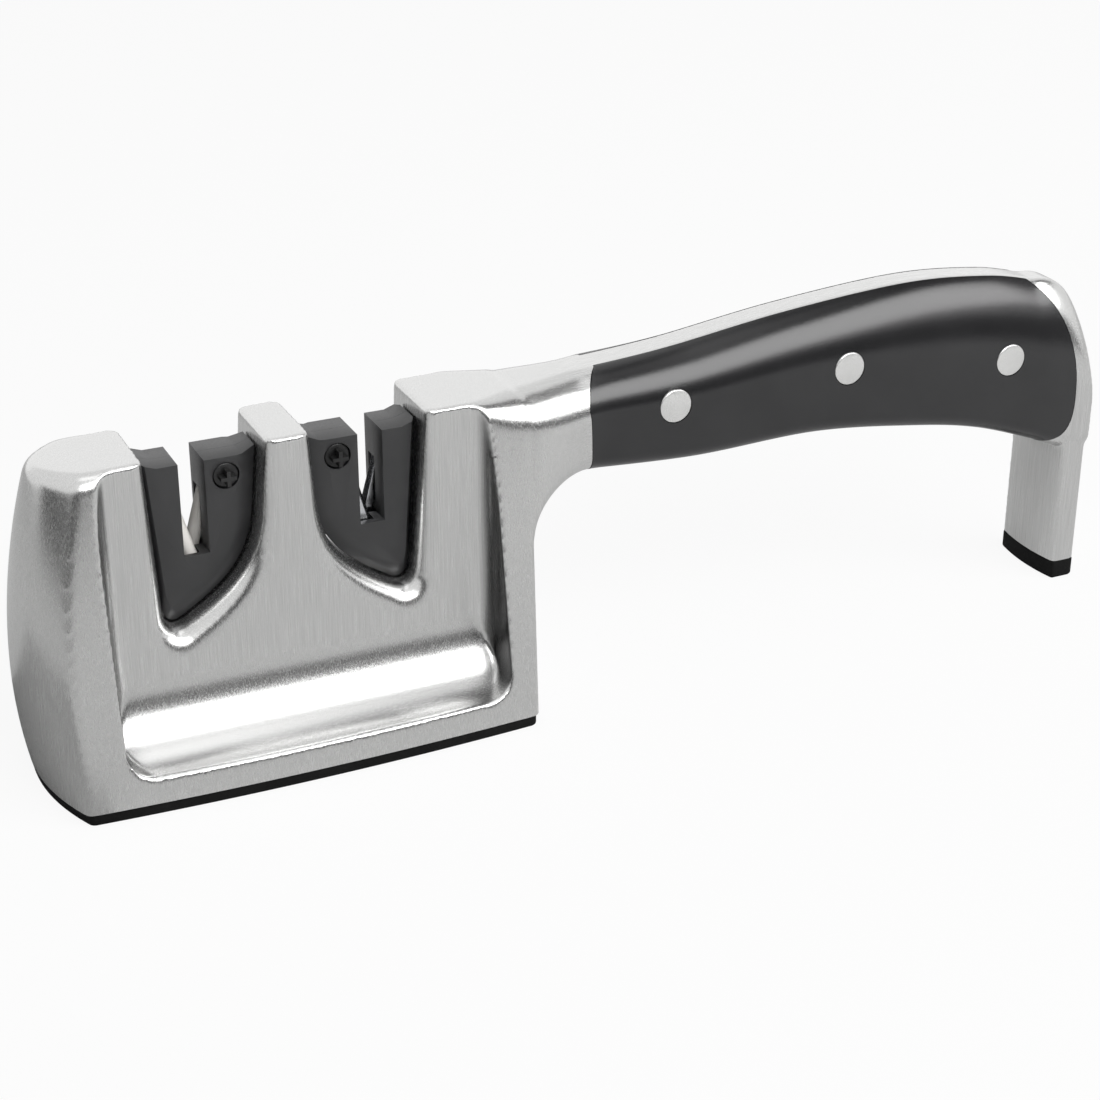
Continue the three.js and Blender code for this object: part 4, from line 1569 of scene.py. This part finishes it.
    def build(self, paint: Paint) -> None:
        """Builds and dresses both inserts.

        Args:
            paint: The finishes.
        """
        stages: tuple[tuple[str, int, str, Flat, Finish, Callable[[str, int, Side], Solid]], ...] = (
            ("fine", -1, "rod", (self.rod_diameter, self.rod_diameter), Finish.CERAMIC, self.rod),
            ("coarse", 1, "blade", (self.blade_width, self.blade_thickness), Finish.CARBIDE, self.blade),
        )
        for stage, side, part, held, finish, make in stages:
            whole = self.shell(f"{stage}_insert", side)
            for face in Side:
                word = face.name.lower()
                cover = self.cover(f"{stage}_{word}_moulding", whole, side, face, held)
                paint.dress(cover, Finish.INSERT_BLACK, f"{stage}_{word}_cover")
                abrasive = make(f"{stage}_{word}_abrasive", side, face)
                paint.dress(abrasive, finish, f"{stage}_{word}_{part}")
            bpy.data.objects.remove(whole, do_unlink=True)
            screw = self.clamp_screw(f"{stage}_screw", side)
            paint.dress(screw, Finish.BLACK_SCREW, f"{stage}_clamp_screw")


@dataclass
class Feet:
    """The rubber pad under the head and the rubber foot under the leg."""

    body: Body
    pad_thickness: float = 2.4
    pad_inset: float = 0.4
    foot_thickness: float = 4.0
    edge: float = 0.5
    rim_angle: float = 50.0
    crease: float = 40.0

    def rounded(self, piece: Solid) -> Solid:
        """Returns a rubber piece with its rims rounded."""
        return shade(round_corners(piece, self.edge, ROUNDING_STEPS, self.rim_angle), self.crease)

    def build(self, paint: Paint) -> None:
        """Builds and dresses the pad and the foot.

        Args:
            paint: The finishes.
        """
        pad = prism("base_pad_rubber", self.body.base_plan(self.pad_inset), Axis.Z, 0, self.pad_thickness)
        paint.dress(self.rounded(pad), Finish.RUBBER, "base_pad")
        foot = prism("foot_pad_rubber", self.body.leg_plan(), Axis.Z, 0, self.foot_thickness)
        paint.dress(self.rounded(foot), Finish.RUBBER, "foot_pad")


@dataclass
class HiddenParts:
    """The plate and the screws inside the head, whose solids stay as they are."""

    steel_nodes: tuple[str, ...] = ("base_plate",)
    screw_nodes: tuple[str, ...] = (
        "base_screw_1", "base_screw_2", "base_screw_3", "base_screw_4", "fine_hold_screw", "coarse_hold_screw",
    )

    def build(self, paint: Paint) -> None:
        """Dresses the nodes."""
        for node in self.steel_nodes + self.screw_nodes:
            paint.dress_node(node, Finish.PLAIN_STEEL)


@dataclass
class Studio:
    """Camera, floor, soft light and the dark cards that the metal reflects, one of them a grey card on the floor that
    puts a painted contact shadow into the reflections.
    """

    camera_place: Point = (-110.3, -355.9, 212.4)
    camera_tilt: float = 64.45
    camera_turn: float = -24.7
    sensor: float = 36.0
    focal_pixels: float = 2283.0
    image_pixels: float = 1100.0
    floor_size: float = 8000.0
    floor_white: float = 0.85
    floor_share: float = 0.92
    floor_mirrored: float = 0.3
    floor_reflected: float = 0.72
    world_fill: float = 0.15
    softbox_place: Point = (520.0, -900.0, 860.0)
    softbox_size: Flat = (1700.0, 700.0)
    softbox_radiance: float = 5.2
    toplight_place: Point = (190.0, -120.0, 1300.0)
    toplight_size: Flat = (460.0, 900.0)
    toplight_radiance: float = 0.7
    backlight_place: Point = (200.0, 1500.0, 620.0)
    backlight_size: Flat = (3200.0, 1000.0)
    backlight_radiance: float = 0.2
    # The first three cards are dark flags that the metal reflects. The fourth is a grey sheet lying on the floor by
    # the free end. It is a painted shadow that darkens the floor's reflection in the end face where the contact
    # shadow falls.
    cards: tuple[tuple[Point, Point, float], ...] = (
        ((-1800, -1150, 0), (2200, -1140, 480), 0.04), ((-1000, -1100, 0), (-990, 100, 260), 0.04),
        ((440, -700, 1400), (2400, 200, 1410), 0.04), ((-135, -60, 0.2), (-38, 38, 0.5), 0.5),
    )

    def camera(self) -> None:
        """Puts up the camera at the photograph's viewing angle."""
        data = bpy.data.cameras.new("camera")
        data.sensor_width = self.sensor
        data.lens = self.sensor * self.focal_pixels / self.image_pixels
        data.clip_start = 10 * MM
        camera = bpy.data.objects.new("camera", data)
        camera.location = [value * MM for value in self.camera_place]
        camera.rotation_euler = (math.radians(self.camera_tilt), 0, math.radians(self.camera_turn))
        bpy.context.scene.collection.objects.link(camera)
        bpy.context.scene.camera = camera

    def seen(self, tree: bpy.types.NodeTree) -> Socket:
        """Tells what is seen from what only gives light.

        Args:
            tree: The node tree that it is for.

        Returns:
            A value that is 1 for what the camera, metal and glass see, and 0 for light.
        """
        path = tree.nodes.new("ShaderNodeLightPath")
        value = path.outputs["Is Camera Ray"]
        for name in ("Is Glossy Ray", "Is Transmission Ray"):
            node = tree.nodes.new("ShaderNodeMath")
            node.operation = "MAXIMUM"
            tree.links.new(value, node.inputs[0])
            tree.links.new(path.outputs[name], node.inputs[1])
            value = node.outputs["Value"]
        return value

    def world(self) -> None:
        """Sets a white surround that lights the object softly."""
        world = bpy.data.worlds.new("studio")
        world.use_nodes = True
        tree = world.node_tree
        background = tree.nodes["Background"]
        background.inputs["Color"].default_value = (1, 1, 1, 1)
        span = tree.nodes.new("ShaderNodeMapRange")
        span.inputs["To Min"].default_value = self.world_fill
        span.inputs["To Max"].default_value = 1.0
        tree.links.new(self.seen(tree), span.inputs["Value"])
        tree.links.new(span.outputs["Result"], background.inputs["Strength"])
        bpy.context.scene.world = world

    def floor(self) -> None:
        """Lays a pale floor that keeps a soft shadow."""
        deselect_all()
        bpy.ops.mesh.primitive_plane_add(size=self.floor_size * MM)
        floor = settle("floor")
        nodes = Nodes("floor")
        output = nodes.shader.outputs["BSDF"].links[0].to_socket
        nodes.tree.nodes.remove(nodes.shader)
        matt, glow = nodes.add("ShaderNodeBsdfDiffuse"), nodes.add("ShaderNodeEmission")
        matt.inputs["Color"].default_value = (self.floor_white, self.floor_white, self.floor_white, 1)
        direct = nodes.add("ShaderNodeLightPath").outputs["Is Camera Ray"]
        nodes.link(nodes.remap(direct, (0.0, 1.0), (self.floor_reflected, 1.0)), glow.inputs["Strength"])
        most = nodes.remap(direct, (0.0, 1.0), (self.floor_mirrored, self.floor_share))
        mix = nodes.add("ShaderNodeMixShader")
        nodes.link(nodes.calculate("MULTIPLY", self.seen(nodes.tree), most), mix.inputs["Fac"])
        nodes.link(matt.outputs["BSDF"], mix.inputs[1])
        nodes.link(glow.outputs["Emission"], mix.inputs[2])
        nodes.link(mix.outputs["Shader"], output)
        floor.data.materials.append(nodes.material)

    def lamp(self, name: str, spot: Point, size: Flat, radiance: float) -> None:
        """Hangs a soft rectangular lamp that faces the object.

        Args:
            name: Name of the lamp.
            spot: Its middle.
            size: Its width and height.
            radiance: How bright its face is, where 1 is white.
        """
        data = bpy.data.lights.new(name, "AREA")
        data.shape = "RECTANGLE"
        data.size, data.size_y = (value * MM for value in size)
        data.energy = radiance * math.pi * data.size * data.size_y
        lamp = bpy.data.objects.new(name, data)
        lamp.location = [value * MM for value in spot]
        lamp.rotation_euler = (-lamp.location).to_track_quat("-Z", "Y").to_euler()
        lamp.visible_camera = False
        bpy.context.scene.collection.objects.link(lamp)

    def card(self, name: str, low: Point, high: Point, grey: float) -> None:
        """Puts up a dark card, which only reflections show.

        Args:
            name: Name of the card.
            low: Its lowest corner.
            high: Its highest corner.
            grey: How much light it gives back.
        """
        card = box_solid(name, low, high)
        nodes = Nodes(name)
        nodes.shader.inputs["Base Color"].default_value = (grey, grey, grey, 1)
        nodes.shader.inputs["Roughness"].default_value = 1.0
        card.data.materials.append(nodes.material)
        card.visible_camera = False
        card.visible_diffuse = False
        card.visible_shadow = False

    def build(self) -> None:
        """Puts up the studio: camera, surround, floor, lamps and cards."""
        bpy.context.scene.view_settings.view_transform = "Standard"
        self.camera()
        self.world()
        self.floor()
        self.lamp("softbox", self.softbox_place, self.softbox_size, self.softbox_radiance)
        self.lamp("toplight", self.toplight_place, self.toplight_size, self.toplight_radiance)
        self.lamp("backlight", self.backlight_place, self.backlight_size, self.backlight_radiance)
        for i, (low, high, grey) in enumerate(self.cards):
            self.card(f"dark_card_{i + 1}", low, high, grey)


def main() -> None:
    """Builds and dresses every piece, then puts up the studio."""
    logging.basicConfig(level=logging.INFO, format="%(name)s: %(message)s")
    paint = Paint()
    grip, notch = Grip(), Notch()
    body = Body(grip, notch)
    body.build(paint)
    grip.build(paint)
    Inserts(notch).build(paint)
    Feet(body).build(paint)
    HiddenParts().build(paint)
    Studio().build()
    deselect_all()


if __name__ == "__main__":
    main()
